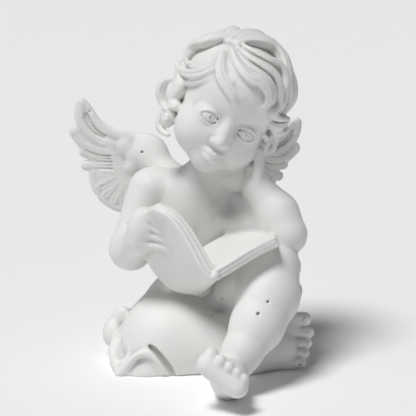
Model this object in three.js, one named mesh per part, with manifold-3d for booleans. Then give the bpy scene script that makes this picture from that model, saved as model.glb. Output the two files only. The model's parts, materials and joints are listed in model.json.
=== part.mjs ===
// A small cast figurine of a seated cherub who reads an open book, in millimetres, +Z up.
// The figure is one casting. It is described as a field of signed distances, built from
// rounded limbs, lobes and leaves that flow into each other, and then given a faceted skin.
// Right and left are the cherub's own: its left hand is towards +X, and it faces -Y.
import * as THREE from "three";
import { edgeTable, triTable } from "three/addons/objects/MarchingCubes.js";
import { mergeVertices } from "three/addons/utils/BufferGeometryUtils.js";
import Module from "manifold-3d";

// Driving dimensions
const BLEND_BODY = 7; // radius of the hollow where one mass of flesh runs into the next
const BLEND_LIMB = 4;
const BLEND_HAND = 1.2;
const BLEND_HAIR = 0.9;
const BLEND_CREASE = 1.6; // where a limb only lies against the body

const HEAD_CENTRE = [10.5, -3, 118.8];
const HEAD_ROLL = 28; // degrees the crown leans towards the left shoulder
const HEAD_PITCH = -5;
const HEAD_YAW = 5;
const SKULL_CENTRE = [0, -2, 4]; // in the head's own axes: left, forward, up
const SKULL_RADII = [22.5, 24.5, 20.5];
const FACE_CENTRE = [0, 6, -11];
const FACE_RADII = [18.6, 17.5, 20];

const CAP_LIFT = 0.4; // how far the cropped hair under the locks stands off the skull

const EYE_SPREAD = 8.8; // from the middle of the face to the middle of each eye
const EYE_LEVEL = -8;
const EYE_DEPTH = 16;
const EYE_RADIUS = 6.2;
const EYE_WIDTH = 9;
const EYE_HEIGHT = 4.8;

const WING_SQUASH = 2; // how many times a feather is wider than it is thick
const PAGE_STRIPS = 9;
const PAGE_EDGE = 1.5; // thickness of a cover or of a bundle of pages, as cast
const TOE_ACROSS = [0.04, 0.31, 0.53, 0.73, 0.92]; // shares of a foot's width, from the big toe
const TOE_REACH = [0.96, 1, 0.97, 0.93, 0.88]; // shares of its length
const BIG_TOE_RADIUS = 3.2;
const TOE_RADIUS = 2.6; // each toe is thinner than the last by the step below
const TOE_STEP = 0.1;
const TOE_ROOT = 0.66; // share of a foot's length where the toes begin
const FINGER_TAPER = 0.9;
const FINGER_SPACING = 2.9;
const FINGER_RISE = [0, 1.6, 1.8, 0.6]; // how far each finger of the left hand outreaches the first

const SKIN_CELL = 0.85; // spacing of the samples that the skin is drawn through
const SKIN_FACES = 9750;
const SKIN_LOW = [-72, -88, -4];
const SKIN_HIGH = [58, 46, 156];
const FLOOR_ALLOWANCE = 1.2; // skin below the floor, which the flat underside is cut from
const DETAIL_CARE = 3;
const GROUND_WIDTH = 200; // the block that cuts the underside flat
const GROUND_DEPTH = 20;

// Fields. Each has distance(x, y, z), below zero inside, and near(), which drops what can't matter
// inside a small ball.

function smoothMin(a, b, radius) {
  if (radius === 0) return Math.min(a, b);
  const overlap = Math.max(radius - Math.abs(a - b), 0);
  return Math.min(a, b) - (overlap * overlap) / (4 * radius);
}

class Field {
  near() {
    return this;
  }
}

// A limb: two spheres and the cone that touches both.
class RoundCone extends Field {
  constructor(start, end, startRadius, endRadius = startRadius) {
    super();
    const apart = Math.hypot(end[0] - start[0], end[1] - start[1], end[2] - start[2]);
    const swallowed = apart <= Math.abs(startRadius - endRadius) + 1e-6;
    this.start = swallowed && endRadius > startRadius ? end : start;
    this.startRadius = swallowed ? Math.max(startRadius, endRadius) : startRadius;
    this.endRadius = endRadius;
    this.axis = swallowed ? [0, 0, 0] : end.map((v, i) => v - start[i]);
    this.lengthSquared = swallowed ? 0 : apart * apart;
    this.slope = startRadius - endRadius;
    this.reach = this.lengthSquared - this.slope * this.slope;
  }

  distance(x, y, z) {
    const px = x - this.start[0];
    const py = y - this.start[1];
    const pz = z - this.start[2];
    if (this.lengthSquared === 0) return Math.hypot(px, py, pz) - this.startRadius;
    const [ax, ay, az] = this.axis;
    const l2 = this.lengthSquared;
    const along = px * ax + py * ay + pz * az;
    const past = along - l2;
    const sx = px * l2 - ax * along;
    const sy = py * l2 - ay * along;
    const sz = pz * l2 - az * along;
    const side = sx * sx + sy * sy + sz * sz;
    const alongSquared = along * along * l2;
    const pastSquared = past * past * l2;
    const k = Math.sign(this.slope) * this.slope * this.slope * side;
    if (Math.sign(past) * this.reach * pastSquared > k) {
      return Math.sqrt(side + pastSquared) / l2 - this.endRadius;
    }
    if (Math.sign(along) * this.reach * alongSquared < k) {
      return Math.sqrt(side + alongSquared) / l2 - this.startRadius;
    }
    return (Math.sqrt((side * this.reach) / l2) + along * this.slope) / l2 - this.startRadius;
  }
}

// A lobe: an ellipsoid, turned to the given axes.
class Lobe extends Field {
  constructor(centre, radii, axes = [[1, 0, 0], [0, 1, 0], [0, 0, 1]]) {
    super();
    this.centre = centre;
    this.radii = radii;
    this.axes = axes;
    this.thinnest = Math.min(...radii);
  }

  distance(x, y, z) {
    const px = x - this.centre[0];
    const py = y - this.centre[1];
    const pz = z - this.centre[2];
    let near = 0;
    let far = 0;
    for (let i = 0; i < 3; i++) {
      const axis = this.axes[i];
      const share = (px * axis[0] + py * axis[1] + pz * axis[2]) / this.radii[i];
      near += share * share;
      far += (share / this.radii[i]) ** 2;
    }
    const k = Math.sqrt(near);
    return k < 1 ? (k - 1) * this.thinnest : (k * (k - 1)) / Math.sqrt(far);
  }
}

// A leaf: a sheet of even thickness, ruled between a near edge and a far edge.
class Leaf extends Field {
  constructor(nearStart, nearEnd, farStart, farEnd, thickness) {
    super();
    this.corners = [nearStart, nearEnd, farStart, farEnd];
    this.half = thickness / 2;
  }

  distance(x, y, z) {
    const [a, b, c, d] = this.corners;
    let depth = 0.5;
    let t = 0.5;
    for (let pass = 0; pass < 3; pass++) {
      t = Leaf.along(x, y, z, a, c, b, d, depth);
      depth = Leaf.along(x, y, z, a, b, c, d, t);
    }
    const [qx, qy, qz] = [0, 1, 2].map(
      (i) => (a[i] * (1 - t) + b[i] * t) * (1 - depth) + (c[i] * (1 - t) + d[i] * t) * depth,
    );
    return Math.hypot(x - qx, y - qy, z - qz) - this.half;
  }

  // Share of the way from the line a-b to the line c-d, taken at share t of both lines.
  static along(x, y, z, a, b, c, d, t) {
    const sx = a[0] + (b[0] - a[0]) * t;
    const sy = a[1] + (b[1] - a[1]) * t;
    const sz = a[2] + (b[2] - a[2]) * t;
    const ex = c[0] + (d[0] - c[0]) * t - sx;
    const ey = c[1] + (d[1] - c[1]) * t - sy;
    const ez = c[2] + (d[2] - c[2]) * t - sz;
    const share = ((x - sx) * ex + (y - sy) * ey + (z - sz) * ez) / (ex * ex + ey * ey + ez * ez);
    return Math.min(1, Math.max(0, share));
  }
}

// A field drawn in axes of its own and squashed along the third of them.
class Flat extends Field {
  constructor(axes, squash, shape) {
    super();
    this.axes = axes;
    this.squash = squash;
    this.shape = shape;
  }

  inside(x, y, z) {
    const [a, b, c] = this.axes.seen([x, y, z]);
    return [a, b, c * this.squash];
  }

  distance(x, y, z) {
    return this.shape.distance(...this.inside(x, y, z)) / this.squash;
  }

  near(x, y, z, ball) {
    return new Flat(this.axes, this.squash, this.shape.near(...this.inside(x, y, z), ball * this.squash));
  }
}

// Several fields that run into each other with a hollow of the given radius.
class Blend extends Field {
  constructor(radius, parts) {
    super();
    this.radius = radius;
    this.parts = parts;
  }

  distance(x, y, z) {
    let d = this.parts[0].distance(x, y, z);
    for (let i = 1; i < this.parts.length; i++) {
      d = smoothMin(d, this.parts[i].distance(x, y, z), this.radius);
    }
    return d;
  }

  near(x, y, z, ball) {
    const distances = this.parts.map((part) => part.distance(x, y, z));
    const limit = Math.min(...distances) + 2.6 * ball + this.radius;
    const kept = this.parts.filter((part, i) => distances[i] <= limit);
    return new Blend(this.radius, kept.map((part) => part.near(x, y, z, ball)));
  }
}

// A body with hollows pressed into it.
class Hollowed extends Field {
  constructor(radius, body, hollows) {
    super();
    this.radius = radius;
    this.body = body;
    this.hollows = hollows;
  }

  distance(x, y, z) {
    let d = this.body.distance(x, y, z);
    for (const hollow of this.hollows) {
      d = -smoothMin(-d, hollow.distance(x, y, z), this.radius);
    }
    return d;
  }

  near(x, y, z, ball) {
    const limit = 2.6 * ball + this.radius;
    const body = this.body.near(x, y, z, ball);
    const inside = -this.body.distance(x, y, z);
    const kept = this.hollows.filter((hollow) => hollow.distance(x, y, z) <= inside + limit);
    return kept.length ? new Hollowed(this.radius, body, kept) : body;
  }
}

// Small helpers for places and directions
const radians = THREE.MathUtils.degToRad;
const vector = (p) => new THREE.Vector3(...p);
const unit = (v) => vector(v).normalize().toArray();
const cross = (a, b) => vector(a).cross(vector(b)).normalize().toArray();

// A set of axes with its own origin, in which a sub-assembly is laid out.
class Axes {
  constructor(origin, across, forward, up) {
    this.origin = origin;
    this.list = [across, forward, up];
  }

  place([a, b, c]) {
    const [u, v, w] = this.list;
    return this.origin.map((o, i) => o + a * u[i] + b * v[i] + c * w[i]);
  }

  seen(point) {
    const offset = point.map((v, i) => v - this.origin[i]);
    return this.list.map((axis) => axis[0] * offset[0] + axis[1] * offset[1] + axis[2] * offset[2]);
  }

  lobe(centre, radii) {
    return new Lobe(this.place(centre), radii, this.list);
  }

  limb(start, end, startRadius, endRadius) {
    return new RoundCone(this.place(start), this.place(end), startRadius, endRadius);
  }
}

// A strand that follows a smooth path, with its girth as a function of the share of the way.
function strand(points, girthAt, pieces, blend) {
  const curve = new THREE.CatmullRomCurve3(points.map(vector), false, "centripetal");
  const parts = [];
  for (let i = 0; i < pieces; i++) {
    const t = [i / pieces, (i + 1) / pieces];
    const [start, end] = t.map((share) => curve.getPoint(share).toArray());
    parts.push(new RoundCone(start, end, girthAt(t[0]), girthAt(t[1])));
  }
  return new Blend(blend, parts);
}

// Trunk
function trunk() {
  return new Blend(BLEND_BODY, [
    new Lobe([-3, 8, 18], [25, 21, 20]),
    new Lobe([-5, 4, 45], [17.5, 16, 19]),
    new Lobe([-5, 4, 65], [19, 14, 17]),
    new Lobe([8, 1, 58], [11, 12, 14]),
    new Lobe([-17, 0, 57], [9, 10, 13]),
    new RoundCone([6, 0, 84], [17, -6, 84], 8, 7),
    new RoundCone([-22, 5, 76], [13, 2, 72.5], 9.3, 9),
    new RoundCone([-3, 4, 78], [5, 0, 92], 9.5, 9.5),
  ]);
}

// Legs
function rightLeg() {
  const knee = [-18.5, -12, 9];
  const shin = [14, -20, 9];
  return new Blend(BLEND_BODY, [
    new RoundCone([-10, 11, 16], knee, 20, 20),
    new RoundCone(knee, shin, 19.5, 12.5),
    new RoundCone(shin, [30, -19, 8.5], 12.5, 9.5),
  ]);
}

function leftLeg() {
  const knee = [27, -25, 48];
  const calf = [26, -33, 37];
  const shin = [21, -43, 27];
  const ankle = [14.5, -52, 18];
  return new Blend(BLEND_LIMB, [
    new RoundCone([8, 8, 28], knee, 17, 12),
    new Lobe([20, -8, 22], [12, 13, 20]),
    new RoundCone(knee, calf, 12, 13),
    new RoundCone(calf, shin, 13, 11),
    new RoundCone(shin, ankle, 11, 8),
    new RoundCone(ankle, [9.5, -56, 9.5], 8, 6.8),
  ]);
}

// A foot in its own axes: across from the big toe to the little toe, forward, and up from the sole.
// The pad is how far the sole's cushion reaches under the toes, as a share of the length.
function foot(axes, length, width, pad) {
  const sole = [
    axes.limb([width * 0.5, 0, 6], [width * 0.5, length * 0.35, 7], 7, 6.5),
    axes.limb([width * 0.42, length * 0.3, 7], [width * 0.22, length * 0.7, 5], 6.5, 5),
    axes.limb([width * 0.58, length * 0.3, 6], [width * 0.8, length * 0.66, 4.5], 6, 4.5),
    axes.limb([width * 0.1, length * pad, 3.6], [width * 0.92, length * (pad - 0.08), 3.4], 4.4, 4),
  ];
  const toes = [];
  TOE_ACROSS.forEach((share, i) => {
    const across = width * share;
    const radius = i === 0 ? BIG_TOE_RADIUS : TOE_RADIUS - TOE_STEP * (i + 1);
    const tip = length * TOE_REACH[i] - radius;
    toes.push(axes.limb([across, length * TOE_ROOT, 7.2], [across, tip, 7.8], radius, radius));
  });
  return new Blend(BLEND_HAND, [new Blend(BLEND_LIMB, sole), ...toes]);
}

function leftFoot() {
  const forward = unit([-0.06, -0.83, 0.55]);
  const up = cross(forward, [0.8, -0.25, -0.55]);
  return foot(new Axes([-2.6, -58, 6.8], cross(up, forward), forward, up), 27, 19, 0.82);
}

function rightFoot() {
  const across = unit([0, -0.45, -0.89]);
  const forward = unit([0.98, 0.12, 0.03]);
  const up = cross(across, forward);
  return foot(new Axes([15.5, -9, 19], across, cross(up, across), up), 31, 22, 0.68);
}

// Arms
function rightArm() {
  const shoulder = [-25.5, 4, 75.5];
  const elbow = [-34.5, -3, 50];
  const wrist = [-30, -18, 58];
  return new Blend(BLEND_LIMB, [
    new RoundCone(shoulder, elbow, 10, 8.8),
    new RoundCone(elbow, wrist, 8.8, 6.2),
  ]);
}

function leftArm() {
  const shoulder = [16, 0, 71];
  const elbow = [34, -20, 61];
  const forearm = [30.5, -16, 69.5];
  return new Blend(BLEND_LIMB, [
    new RoundCone(shoulder, elbow, 10, 8.3),
    new RoundCone(elbow, forearm, 8.3, 8.6),
    new RoundCone(forearm, [21.8, -12.5, 80], 8.6, 7),
    new RoundCone([8, -4, 62], [30, -17, 59], 8, 7),
  ]);
}

// Hands
const RIGHT_FINGERS = [
  { knuckle: [-27, -25.5, 71.5], tip: [-18.4, -28.5, 66.8], girth: 2 },
  { knuckle: [-27, -25.5, 67], tip: [-16.6, -28.5, 63.3], girth: 2 },
  { knuckle: [-27.5, -25.5, 62.6], tip: [-15.6, -28.5, 60.2], girth: 1.9 },
  { knuckle: [-28.5, -25, 58.4], tip: [-16, -28, 57], girth: 2.1 },
];

function rightHand() {
  const palm = new Blend(BLEND_LIMB, [
    new RoundCone([-30, -18, 58], [-28.5, -21.5, 64], 6.4, 6.4),
    new RoundCone([-29, -21.5, 59], [-28, -22.5, 69], 5.4, 5),
  ]);
  const fingers = RIGHT_FINGERS.map(({ knuckle, tip, girth }) =>
    new RoundCone(knuckle, tip, girth, girth * FINGER_TAPER),
  );
  return new Blend(BLEND_HAND, [palm, ...fingers]);
}

// The left hand is flat against the cheek, its fingers side by side from front to back.
function leftHand() {
  const parts = [new RoundCone([21.6, -12, 80], [21.4, -11.5, 87], 6.6, 4.6)];
  FINGER_RISE.forEach((rise, i) => {
    const root = [21.6, -16 + FINGER_SPACING * i, 84];
    const tip = [22.4, -14.8 + FINGER_SPACING * i, 97 + rise];
    parts.push(new RoundCone(root, tip, 2.5, 1.9));
  });
  return new Blend(BLEND_HAND, parts);
}

// Head
function headAxes() {
  const turn = new THREE.Matrix4()
    .makeRotationY(radians(HEAD_ROLL))
    .premultiply(new THREE.Matrix4().makeRotationX(radians(-HEAD_PITCH)))
    .premultiply(new THREE.Matrix4().makeRotationZ(radians(HEAD_YAW)));
  const [left, forward, up] = [[1, 0, 0], [0, -1, 0], [0, 0, 1]].map((axis) =>
    vector(axis).applyMatrix4(turn).toArray(),
  );
  return new Axes(HEAD_CENTRE, left, forward, up);
}

const HEAD = headAxes();

// How far the given direction runs inside an ellipsoid, both taken from the head's centre.
function reachInside(direction, centre, radii) {
  let a = 0;
  let b = 0;
  let c = -1;
  for (let i = 0; i < 3; i++) {
    a += (direction[i] / radii[i]) ** 2;
    b += (direction[i] * centre[i]) / radii[i] ** 2;
    c += (centre[i] / radii[i]) ** 2;
  }
  return (b + Math.sqrt(b * b - a * c)) / a;
}

// A place over the head: azimuth from straight ahead towards its left, elevation, and lift.
function overHead([azimuth, elevation, lift]) {
  const direction = [
    Math.sin(radians(azimuth)) * Math.cos(radians(elevation)),
    Math.cos(radians(azimuth)) * Math.cos(radians(elevation)),
    Math.sin(radians(elevation)),
  ];
  const surface = Math.max(
    reachInside(direction, SKULL_CENTRE, SKULL_RADII),
    reachInside(direction, FACE_CENTRE, FACE_RADII),
  );
  return HEAD.place(direction.map((v) => v * (surface + lift)));
}

// An eyelid: a thin roll over the eyeball, from corner to corner, above (1) or below (-1).
function eyelid(side, above) {
  const points = [];
  for (let i = 0; i <= 6; i++) {
    const turn = (Math.PI * i) / 6;
    const across = -EYE_WIDTH * 0.5 * Math.cos(turn);
    const rise = above * EYE_HEIGHT * 0.5 * Math.sin(turn);
    const bulge = Math.sqrt(EYE_RADIUS ** 2 - across ** 2 - rise ** 2) - 0.1;
    points.push(HEAD.place([EYE_SPREAD * side + across, EYE_DEPTH + bulge, EYE_LEVEL + rise]));
  }
  return strand(points, (t) => (above > 0 ? 0.7 : 0.6) * (0.6 + 0.4 * Math.sin(Math.PI * t)), 6, 0);
}

function face() {
  const masses = [
    HEAD.lobe(SKULL_CENTRE, SKULL_RADII),
    HEAD.lobe(FACE_CENTRE, FACE_RADII),
    HEAD.lobe([0, 8, 6], [18, 16.5, 15]),
  ];
  const chin = HEAD.limb([0, 15, -26], [0, 13.5, -25.5], 6.5, 6.5);
  for (const side of [-1, 1]) {
    masses.push(HEAD.limb([9.8 * side, 11.5, -17], [9.4 * side, 10.5, -18], 8.8, 8.8));
  }
  const nose = HEAD.limb([0, 21, -6], [0, 24.3, -15], 2.2, 3);
  const nostrils = [-1, 1].map((side) => HEAD.limb([2.6 * side, 22.5, -16], [2.4 * side, 22, -16], 2, 2));
  const eyes = [-1, 1].map((side) =>
    HEAD.lobe([EYE_SPREAD * side, EYE_DEPTH, EYE_LEVEL], [EYE_RADIUS, EYE_RADIUS, EYE_RADIUS]),
  );
  const lids = [-1, 1].flatMap((side) => [eyelid(side, 1), eyelid(side, -1)]);
  const sockets = [-1, 1].map((side) => HEAD.lobe([8.6 * side, 25.5, -7.5], [6.5, 4.2, 4.6]));
  const lips = new Blend(0.8, [
    HEAD.lobe([0, 21.6, -21.3], [4.6, 2.6, 1.7]),
    HEAD.lobe([0, 21.2, -24], [3.8, 2.6, 1.8]),
  ]);
  const head = new Hollowed(3, new Blend(5, [...masses, chin]), sockets);
  return new Blend(0.8, [new Blend(1.5, [new Blend(3, [head, nose]), ...nostrils, ...eyes, lips]), ...lids]);
}

function ears() {
  return new Blend(
    1,
    [-1, 1].map((side) => HEAD.lobe([22.5 * side, 0, -7], [3, 4.5, 6.5])),
  );
}

// Hair: each row is the path of a lock over the head, as azimuth, elevation and lift.
const FRONT_LOCKS = [
  // Over the right temple, from the parting
  {
    girth: 3,
    path: [[-94, 63, 1.6], [-90, 49, 2.4], [-89, 38, 3], [-97, 30, 3.4], [-105, 20, 3.4], [-103, 9, 2.4]],
  },
  {
    girth: 2.1,
    path: [[-59, 48, 1.4], [-54, 35, 2], [-57, 25, 2.4], [-65, 17, 2.8], [-77, 12, 3.4], [-93, 12, 3.6]],
  },
  { girth: 3.2, path: [[-52, 41, 0.2], [-50, 25, 0.5], [-60, 13, 0.9], [-82, 3, 1.4], [-100, 0, 3]] },
  { girth: 2, path: [[-45, 31, 0], [-47, 17, 0.2], [-60, 4, 0.4], [-90, -8, 1], [-99, -6, 2.2]] },
  // Curls beside the right cheek
  { girth: 1.9, path: [[-92, -4, 1.8], [-98, -1, 4], [-101, 5, 5.2]] },
  { girth: 4.2, path: [[-98, -10, 2.5], [-96, -21, 5], [-90, -31, 5], [-75, -33, 3]] },
  {
    girth: 2.6,
    path: [
      [-91, -6, 1.5], [-98, -12, 6], [-97, -17, 9.4],
      [-95, -24, 11.2], [-91, -32, 9.8], [-80, -36, 6],
    ],
  },
  { girth: 3.8, path: [[-82, -39, 4.5], [-79, -48, 5]] },
  { girth: 2.3, path: [[-80, -37, 5], [-90, -42, 8.6], [-88, -48, 9], [-80, -52, 7.4], [-68, -53, 5]] },
  // Over the forehead, swept to the left
  {
    girth: 2.4,
    path: [[-57, 46, 1.4], [-43, 32, 1.6], [-32, 22, 1.8], [-20, 16, 2], [-10, 10, 2.2], [-4, 5, 1.2]],
  },
  { girth: 1.2, path: [[-27, 27, 1.6], [-15, 22, 2], [-5, 17, 2], [-3, 10, 1.2]] },
  {
    girth: 2.7,
    path: [
      [-49, 51, 1.6], [-24, 40, 2.4], [-7, 34, 3.2], [7, 34, 3.8],
      [19, 28, 3.8], [23, 20, 3], [20, 12, 1.6],
    ],
  },
  {
    girth: 1.9,
    path: [[-46, 54, 1.6], [-19, 46, 2.4], [-1, 42, 3.2], [14, 39, 3.6], [25, 33, 3.4], [31, 24, 2.6]],
  },
  {
    girth: 2.1,
    path: [
      [-49, 58, 1.6], [-17, 54, 2.4], [7, 51, 3.2], [25, 47, 3.4],
      [34, 39, 3.2], [41, 28, 2.6], [44, 20, 2],
    ],
  },
  {
    girth: 2,
    path: [
      [-58, 64, 1.6], [-23, 64, 2.2], [13, 62, 2.8], [43, 60, 3.2],
      [50, 51, 3.2], [49, 39, 3], [54, 26, 2.4],
    ],
  },
  {
    girth: 3.3,
    path: [
      [-99, 65, 2.4], [-82, 78, 3.2], [4, 88, 3.8], [90, 79, 3.8],
      [78, 69, 3.6], [63, 58, 3.2], [56, 45, 3], [61, 33, 2.8],
    ],
  },
  // Curls around the left ear
  { girth: 2, path: [[46, 25, 2.6], [37, 15, 2.6], [37, 12, 2.4], [50, 9, 2.8], [77, 8, 3.8]] },
  { girth: 2, path: [[77, 7, 3.9], [72, 1, 3.4], [56, 0, 2.6], [47, 0, 2]] },
  { girth: 2, path: [[53, -3, 2], [68, -8, 3.8], [76, -6, 5.6], [80, -1, 6]] },
  { girth: 1.5, path: [[53, -15, 1.6], [68, -22, 3.4], [69, -29, 3.4]] },
  { girth: 2.6, path: [[68, -12, 3], [74, -17, 6], [74, -23, 7], [69, -28, 6]] },
];

// Dark hollows under the locks, pressed in with a round tool
const HAIR_HOLLOWS = [
  { girth: 2.4, path: [[-59, 46, 1.8], [-68, 37, 1.5], [-77, 28, 1.6], [-84, 20, 2]] },
  { girth: 2.2, path: [[-39, 69, 1.8], [-5, 72, 1.8], [34, 70, 2], [54, 63, 2.2]] },
  { girth: 2.6, path: [[-16, 23, 1.8], [-5, 20, 1.5], [6, 18, 1.5], [12, 14, 1.6]] },
];

function lock(path, girth) {
  const taper = (t) => girth * (0.45 + 0.55 * Math.sin(Math.PI * Math.min(1, 0.15 + 0.78 * t)));
  return strand(path.map(overHead), taper, 3 * (path.length - 1), 0);
}

// Two tiers of locks, combed in one wave, that fall from the crown over the back of the head.
function backLocks() {
  const locks = [];
  for (const tier of [
    { count: 10, first: 92, spacing: 19, top: 76, step: 16, girth: 3.3, lift: 0.8, wave: 8 },
    { count: 10, first: 74, spacing: 21, top: 8, step: 13, girth: 3.2, lift: 1.8, wave: 9 },
  ]) {
    for (let i = 0; i < tier.count; i++) {
      const path = [];
      for (let j = 0; j < 5; j++) {
        const sway = tier.wave * Math.sin(1.8 * j + 0.5 * i);
        path.push([tier.first + tier.spacing * i + sway, tier.top - tier.step * j, tier.lift + 0.45 * j]);
      }
      locks.push(lock(path, tier.girth));
    }
  }
  return locks;
}

function hair() {
  const locks = FRONT_LOCKS.map(({ path, girth }) => lock(path, girth));
  const cap = HEAD.lobe([0, -3.5, 5], SKULL_RADII.map((radius) => radius + CAP_LIFT));
  const hollows = HAIR_HOLLOWS.map(({ path, girth }) => lock(path, girth));
  return new Hollowed(BLEND_HAIR, new Blend(BLEND_HAIR, [cap, ...locks, ...backLocks()]), hollows);
}

// Wings, laid out flat from the right one: outward from the joint, then up.
const FEATHERS = [
  {
    girth: 3.2,
    path: [[2, 5], [9, 7.5], [15, 8.5], [20, 11], [23.3, 14.6], [25.5, 18.5], [27, 21.2]],
    taper: 0.45, depth: 0.7,
  },
  {
    girth: 3.1,
    path: [[9, 3.5], [19, 4], [25, 7.5], [29, 12], [30.2, 17.5], [29.4, 21.6]],
    taper: 0.9, depth: 0.4,
  },
  { girth: 2.6, path: [[12, 5], [21, 7], [26.4, 11.5], [28.2, 17.5]], taper: 0.7, depth: -0.5 },
  { girth: 3.3, path: [[10, 0], [22, 0.5], [28.5, 3.5], [32.4, 8.5]], taper: 1, depth: 0.2 },
  { girth: 2.6, path: [[10, -3], [22, -3], [28.8, -0.8]], taper: 1, depth: 0 },
  { girth: 3, path: [[10, -6], [21, -6.5], [28, -7.2]], taper: 0.85, depth: -0.2 },
];
const COVERTS = [
  { centre: [9.4, 3], girth: 3.4 },
  { centre: [6, -1.4], girth: 3.2 },
  { centre: [6.5, -6.4], girth: 3 },
];
const LOWER_LOBE = { centre: [9, -11], radius: 17 };
const RIM_INSET = 1.2;
const RIGHT_WING = { pivot: [-28, 20, 89], side: -1, scale: 1, sweep: 0.16, tilt: 0 };
const LEFT_WING = { pivot: [14, 19, 89.5], side: 1, scale: 0.9, sweep: 0.6, tilt: 18 };

function wing({ pivot, side, scale, sweep, tilt }) {
  const outward = unit([side, sweep, 0]);
  const facing = cross([0, 0, 1], outward).map((v) => v * -side);
  const axes = new Axes(pivot, outward, [0, 0, 1], facing);
  const [turnCos, turnSin] = [Math.cos(radians(tilt)) * scale, Math.sin(radians(tilt)) * scale];
  const flat = ([u, v], depth = 0) => {
    return [u * turnCos + v * turnSin, v * turnCos - u * turnSin, depth * WING_SQUASH];
  };
  const parts = FEATHERS.map(({ girth, path, taper, depth }) => {
    const girthAt = (t) => girth * scale * (1 - (1 - taper) * t);
    return strand(path.map((place) => flat(place, depth)), girthAt, 4 * (path.length - 1), 0);
  });
  const { centre, radius } = LOWER_LOBE;
  parts.push(new Lobe(flat(centre), [radius * scale, radius * scale, 3.6]));
  parts.push(new Lobe(flat([14, 0]), [14 * scale, 10 * scale, 3.6]));
  const rim = [];
  for (let i = 0; i <= 8; i++) {
    const turn = radians(8 - 13.5 * i);
    const out = radius - RIM_INSET;
    rim.push(flat([centre[0] + out * Math.cos(turn), centre[1] + out * Math.sin(turn)]));
  }
  parts.push(strand(rim, () => 2.1 * scale, 12, 0));
  for (let i = 0; i < 4; i++) {
    const turn = radians(-25 - 24 * i);
    const end = [centre[0] + 13 * Math.cos(turn), centre[1] + 13 * Math.sin(turn)];
    parts.push(new RoundCone(flat([3, -5], 0.2), flat(end, 0.4), 3 * scale, 2.4 * scale));
  }
  const blades = new Flat(axes, WING_SQUASH, new Blend(0.6, parts));
  const coverts = COVERTS.map(({ centre: [u, v], girth }) =>
    new Lobe(axes.place([...flat([u, v]).slice(0, 2), 0.6]), [girth * scale, girth * scale, 2.4], axes.list),
  );
  const shoulder = new Lobe(axes.place([-1 * scale, 0, 0]), [9 * scale, 8.6 * scale, 4.6], axes.list);
  return new Blend(1, [blades, ...coverts, shoulder]);
}

function wings() {
  return new Blend(BLEND_LIMB, [
    wing(RIGHT_WING),
    wing(LEFT_WING),
    new RoundCone(RIGHT_WING.pivot, [-13, 13, 75], 4.6, 8),
    new RoundCone(LEFT_WING.pivot, [0, 13, 73], 4.6, 8),
  ]);
}

// Book: each half is a stack of leaves, ruled from the near edge of the page to its far edge.
const BOOK_SPINE = [3, -46, 49.9];
const RIGHT_HALF = {
  near: [
    [-21.8, -30, 76], [-16.2, -34, 74.3], [-10.2, -38, 68.8], [-4.7, -42, 60.6], [-0.4, -45, 53.1],
    BOOK_SPINE,
  ],
  far: [
    [-34, -13, 66], [-27, -13, 52], [-20.5, -15, 42], [-13.3, -16, 35.8], [-7, -15, 34.6], [-2.5, -14, 35],
  ],
  pitch: 2.05,
};
const LEFT_HALF = {
  near: [BOOK_SPINE, [9.3, -45.5, 53.5], [15.7, -44, 57.2], [22, -42, 60.4], [28.9, -39, 62.9]],
  far: [[-1, -15, 52], [5, -14, 55.5], [12, -13.5, 58.8], [20.5, -13, 60.2], [27.5, -12, 58.5]],
  pitch: 1.65,
};

// The leaves' edges stand out from a core that is as thick as all of them and a little smaller.
function bookHalf({ near, far, pitch }) {
  const [head, foot] = [near, far].map((edge) => new THREE.CatmullRomCurve3(edge.map(vector)));
  const sheet = (thickness, height, inset) => {
    const rows = [[], []];
    for (let i = 0; i <= PAGE_STRIPS; i++) {
      const share = inset + ((1 - 2 * inset) * i) / PAGE_STRIPS;
      const [start, end] = [head, foot].map((edge) => edge.getPoint(share).toArray());
      const way = end.map((v, k) => v - start[k]);
      const lift = cross(head.getTangent(share).toArray(), way);
      rows[0].push(start.map((v, k) => v + lift[k] * height + way[k] * inset));
      rows[1].push(end.map((v, k) => v + lift[k] * height - way[k] * inset));
    }
    return rows[0].slice(1).map((_, i) =>
      new Leaf(rows[0][i], rows[0][i + 1], rows[1][i], rows[1][i + 1], thickness),
    );
  };
  const leaves = [-1, 0, 1].flatMap((layer) => sheet(PAGE_EDGE, layer * pitch, 0));
  return new Blend(PAGE_EDGE / 4, [...leaves, ...sheet(2 * pitch + PAGE_EDGE, 0, 0.06)]);
}

function book() {
  const gutter = new Leaf(BOOK_SPINE, [3.1, -46, 50], RIGHT_HALF.far.at(-1), LEFT_HALF.far[0], 4);
  const web = new RoundCone([-15, -13, 39], [-3, -12, 35], 4.5, 4.5);
  const halves = new Blend(BLEND_HAND / 3, [bookHalf(RIGHT_HALF), bookHalf(LEFT_HALF), gutter]);
  return new Blend(BLEND_HAND, [halves, web]);
}

// Drapery: the cloth that the cherub sits on, bunched at its right side and behind its hips. The hem
// runs down the bunch, and the front edge rises in an arch between two places where it meets the floor.
const HEM_CORNER = [-38.6, -30, 0.6];
const HEM_PATH = [
  [-31.5, -5, 18.6], [-35, -9, 17], [-38.6, -13, 13.8], [-41.4, -17, 11], [-42.4, -21, 8.4],
  [-41.6, -25.5, 4.6], HEM_CORNER,
];
const ARCH_PATH = [
  HEM_CORNER, [-35, -31, 5.2], [-31.8, -31.5, 9], [-28, -31.8, 10.6], [-24.6, -32.4, 10],
  [-21.4, -33.2, 7.6], [-17.8, -33.6, 3.6], [-16, -33, 0],
];
const VALLEY_PATH = [[-32.5, -15, 19.3], [-36.5, -21, 14], [-39, -27, 9.3]];
const BACK_FOLDS = 4;

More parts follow.
